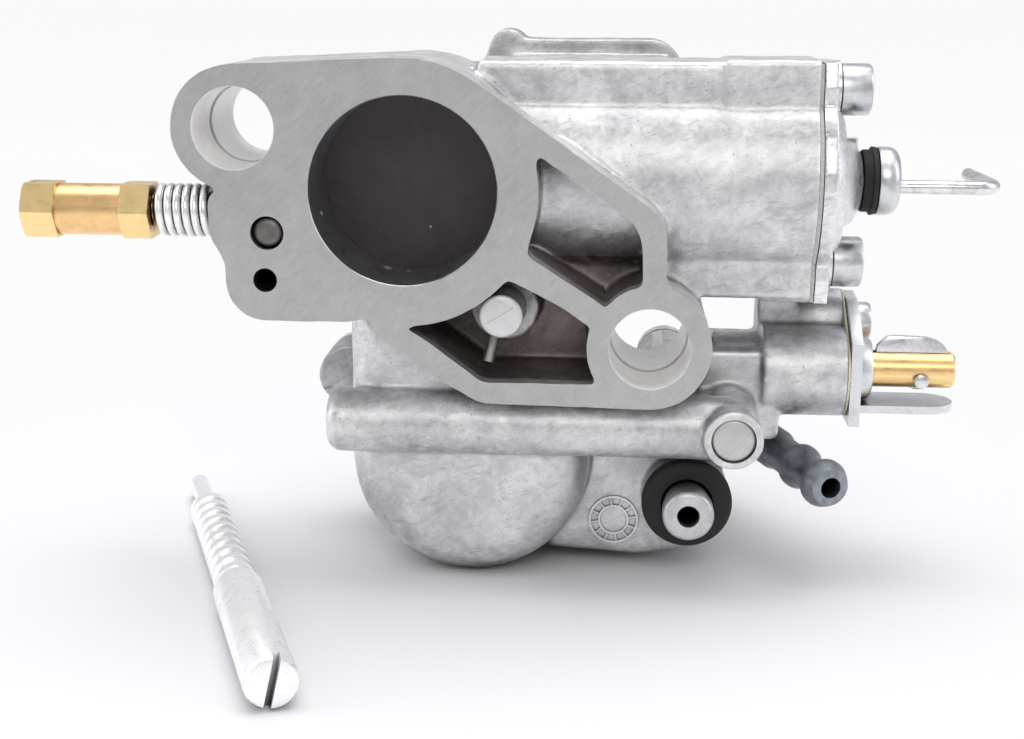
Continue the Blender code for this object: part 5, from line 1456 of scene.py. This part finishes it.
def build_floor():
    """Flat table that curves up into a backdrop; sizes in metres."""
    level = (RISE - 54.86) * MM
    half_width, flat_end, curve_r = 1.6, 0.55, 0.35
    profile = [(-1.2, 0.0), (flat_end, 0.0)]                        # (y, z)
    for i in range(1, 13):
        angle = radians(90 * i / 12)
        profile.append((flat_end + curve_r * sin(angle), curve_r * (1 - cos(angle))))
    profile.append((0.9, 1.4))
    bm = bmesh.new()
    left, right = [[bm.verts.new((x, y, level + z)) for y, z in profile]
                   for x in (-half_width, half_width)]
    for i in range(len(profile) - 1):
        bm.faces.new((left[i], right[i], right[i + 1], left[i + 1]))
    mesh = bpy.data.meshes.new("floor")
    bm.to_mesh(mesh)
    bm.free()
    floor = bpy.data.objects.new("floor", mesh)
    bpy.context.scene.collection.objects.link(floor)
    mesh.shade_smooth()
    mesh.materials.append(stage_look("floor_paper", seen=(0.80, 0.795, 0.815),
                                     felt=(0.84, 0.84, 0.86)))


def build_table_screw():
    """A spare adjusting screw lying on the table, as set dressing."""
    tip = Vector((-38.8, 41.4, RISE - 52.8))
    head = Vector((-10.7, -34.6, RISE - 51.45))
    spare = long_screw(
        [(3.3, 50.3), (2.8, 49.6), (2.8, 48.8), (0, 48.8)],
        threaded(2.8, 0.62, 3.5, 36.3, (0, 0, 13.0), (0, 0, 1), 64, 24, lead=0.3, crest=2.3),
        [(0, 13.6), (1.5, 13.6), (1.5, 0.6), (1.2, 0.2), (0.9, 0.0), (0, 0.0)], 0.45, 79.2)
    spare.data.transform(Matrix.Rotation(radians(-13), 4, 'Z'))
    spare.data.transform(pose(tip, head - tip))
    spare.name = "table_screw"
    CUTTERS.objects.unlink(spare)
    bpy.context.scene.collection.objects.link(spare)
    spare.data.materials.append(
        turned_look("table_screw_look", (0.96, 0.972, 0.985), rough=(0.24, 0.36), fine=2.0,
                    metal=0.6, stain=0.02, dark=0.97))
    spare.data.shade_smooth()
    spare.data.set_sharp_from_angle(angle=radians(30))


build_floor()
build_table_screw()

# Metres from the bore's centre: name, place, target, (width, height), watts, colour
LIGHTS = (
    ("top_softbox", (0.02, 0.10, 0.55), (0.01, 0.02, -0.02), (0.55, 0.45), 2.3,
     (1.0, 0.99, 0.98)),
    ("left_softbox", (-0.50, -0.10, 0.20), (0, 0.01, -0.02), (0.35, 0.45), 0.7,
     (0.97, 0.98, 1.0)),
    ("right_softbox", (0.52, -0.05, 0.22), (0.03, 0.01, -0.02), (0.30, 0.45), 0.6,
     (0.99, 0.99, 1.0)),
    ("front_fill", (0.06, -0.55, 0.34), (0.01, 0.0, -0.02), (0.30, 0.25), 0.8,
     (1.0, 0.98, 0.96)),
)
# The right softbox is marked square, but a square is only used when no height is given, and it has
# one.
SQUARE_LIGHTS = {"right_softbox"}

for name, location, target, (width, height), watts, colour in LIGHTS:
    light = bpy.data.lights.new(name, 'AREA')
    light.shape = 'RECTANGLE'
    light.size = width
    light.size_y = width if name in SQUARE_LIGHTS and height is None else height
    light.energy = watts
    light.color = colour
    lamp = bpy.data.objects.new(name, light)
    bpy.context.scene.collection.objects.link(lamp)
    lamp.location = Vector(location) + Vector((0, 0, RISE * MM))
    aim = Vector(target) - Vector(location)
    lamp.rotation_euler = aim.to_track_quat('-Z', 'Y').to_euler()
    lamp.visible_camera = False


def build_world():
    """Studio surround: darker towards -Y, brighter towards +Y, and even
    near-white for the camera."""
    world = bpy.data.worlds.new("studio")
    bpy.context.scene.world = world
    world.use_nodes = True
    tree = world.node_tree
    tree.nodes.clear()
    direction = new_node(tree, "TexCoord").outputs["Generated"]
    depth = new_node(tree, "SeparateXYZ", {0: direction}).outputs["Y"]
    fade = new_node(tree, "MapRange", {"From Min": -0.75, "From Max": 0.25, "To Min": 0.42,
                                       "To Max": 1.0, "Value": depth},
                    interpolation_type='SMOOTHSTEP').outputs["Result"]
    # Mix sockets: 0 factor, 6 first colour, 7 second colour
    surround = new_node(tree, "Mix", data_type='RGBA', inputs={
        0: fade, 6: (0.44, 0.435, 0.43), 7: (1.0, 1.0, 1.02)}).outputs[2]
    camera_ray = new_node(tree, "LightPath").outputs["Is Camera Ray"]
    colour = new_node(tree, "Mix", data_type='RGBA', inputs={
        0: camera_ray, 6: surround, 7: (0.97, 0.97, 0.98)}).outputs[2]
    background = new_node(tree, "Background", {"Color": colour, "Strength": 0.72})
    new_node(tree, "OutputWorld", {"Surface": background.outputs[0]})


def build_camera():
    """Camera on the engine side, looking along +Y and a little down."""
    camera = bpy.data.cameras.new("camera")
    ob = bpy.data.objects.new("camera", camera)
    bpy.context.scene.collection.objects.link(ob)
    camera.sensor_width = 36.0
    camera.lens = 56.1195703
    yaw, pitch, roll = radians(3.7353), radians(13.8734), radians(0.3230)
    forward = Vector((-sin(yaw) * cos(pitch), cos(yaw) * cos(pitch), -sin(pitch)))
    level = Vector((cos(yaw), sin(yaw), 0))
    up = level.cross(forward)
    rolled_right = level * cos(roll) + up * sin(roll)
    rolled_up = -level * sin(roll) + up * cos(roll)
    eye = Vector((27.0316, -199.1751, 26.5842 + RISE)) * MM
    rotation = Matrix((rolled_right, rolled_up, -forward)).transposed().to_4x4()
    ob.matrix_world = Matrix.Translation(eye) @ rotation
    camera.clip_start = 0.01
    camera.clip_end = 10.0
    camera.dof.use_dof = False
    bpy.context.scene.camera = ob


build_world()
build_camera()

view = bpy.context.scene.view_settings
view.view_transform = 'Standard'
view.look = 'None'
view.exposure = 0.0
view.gamma = 1.0

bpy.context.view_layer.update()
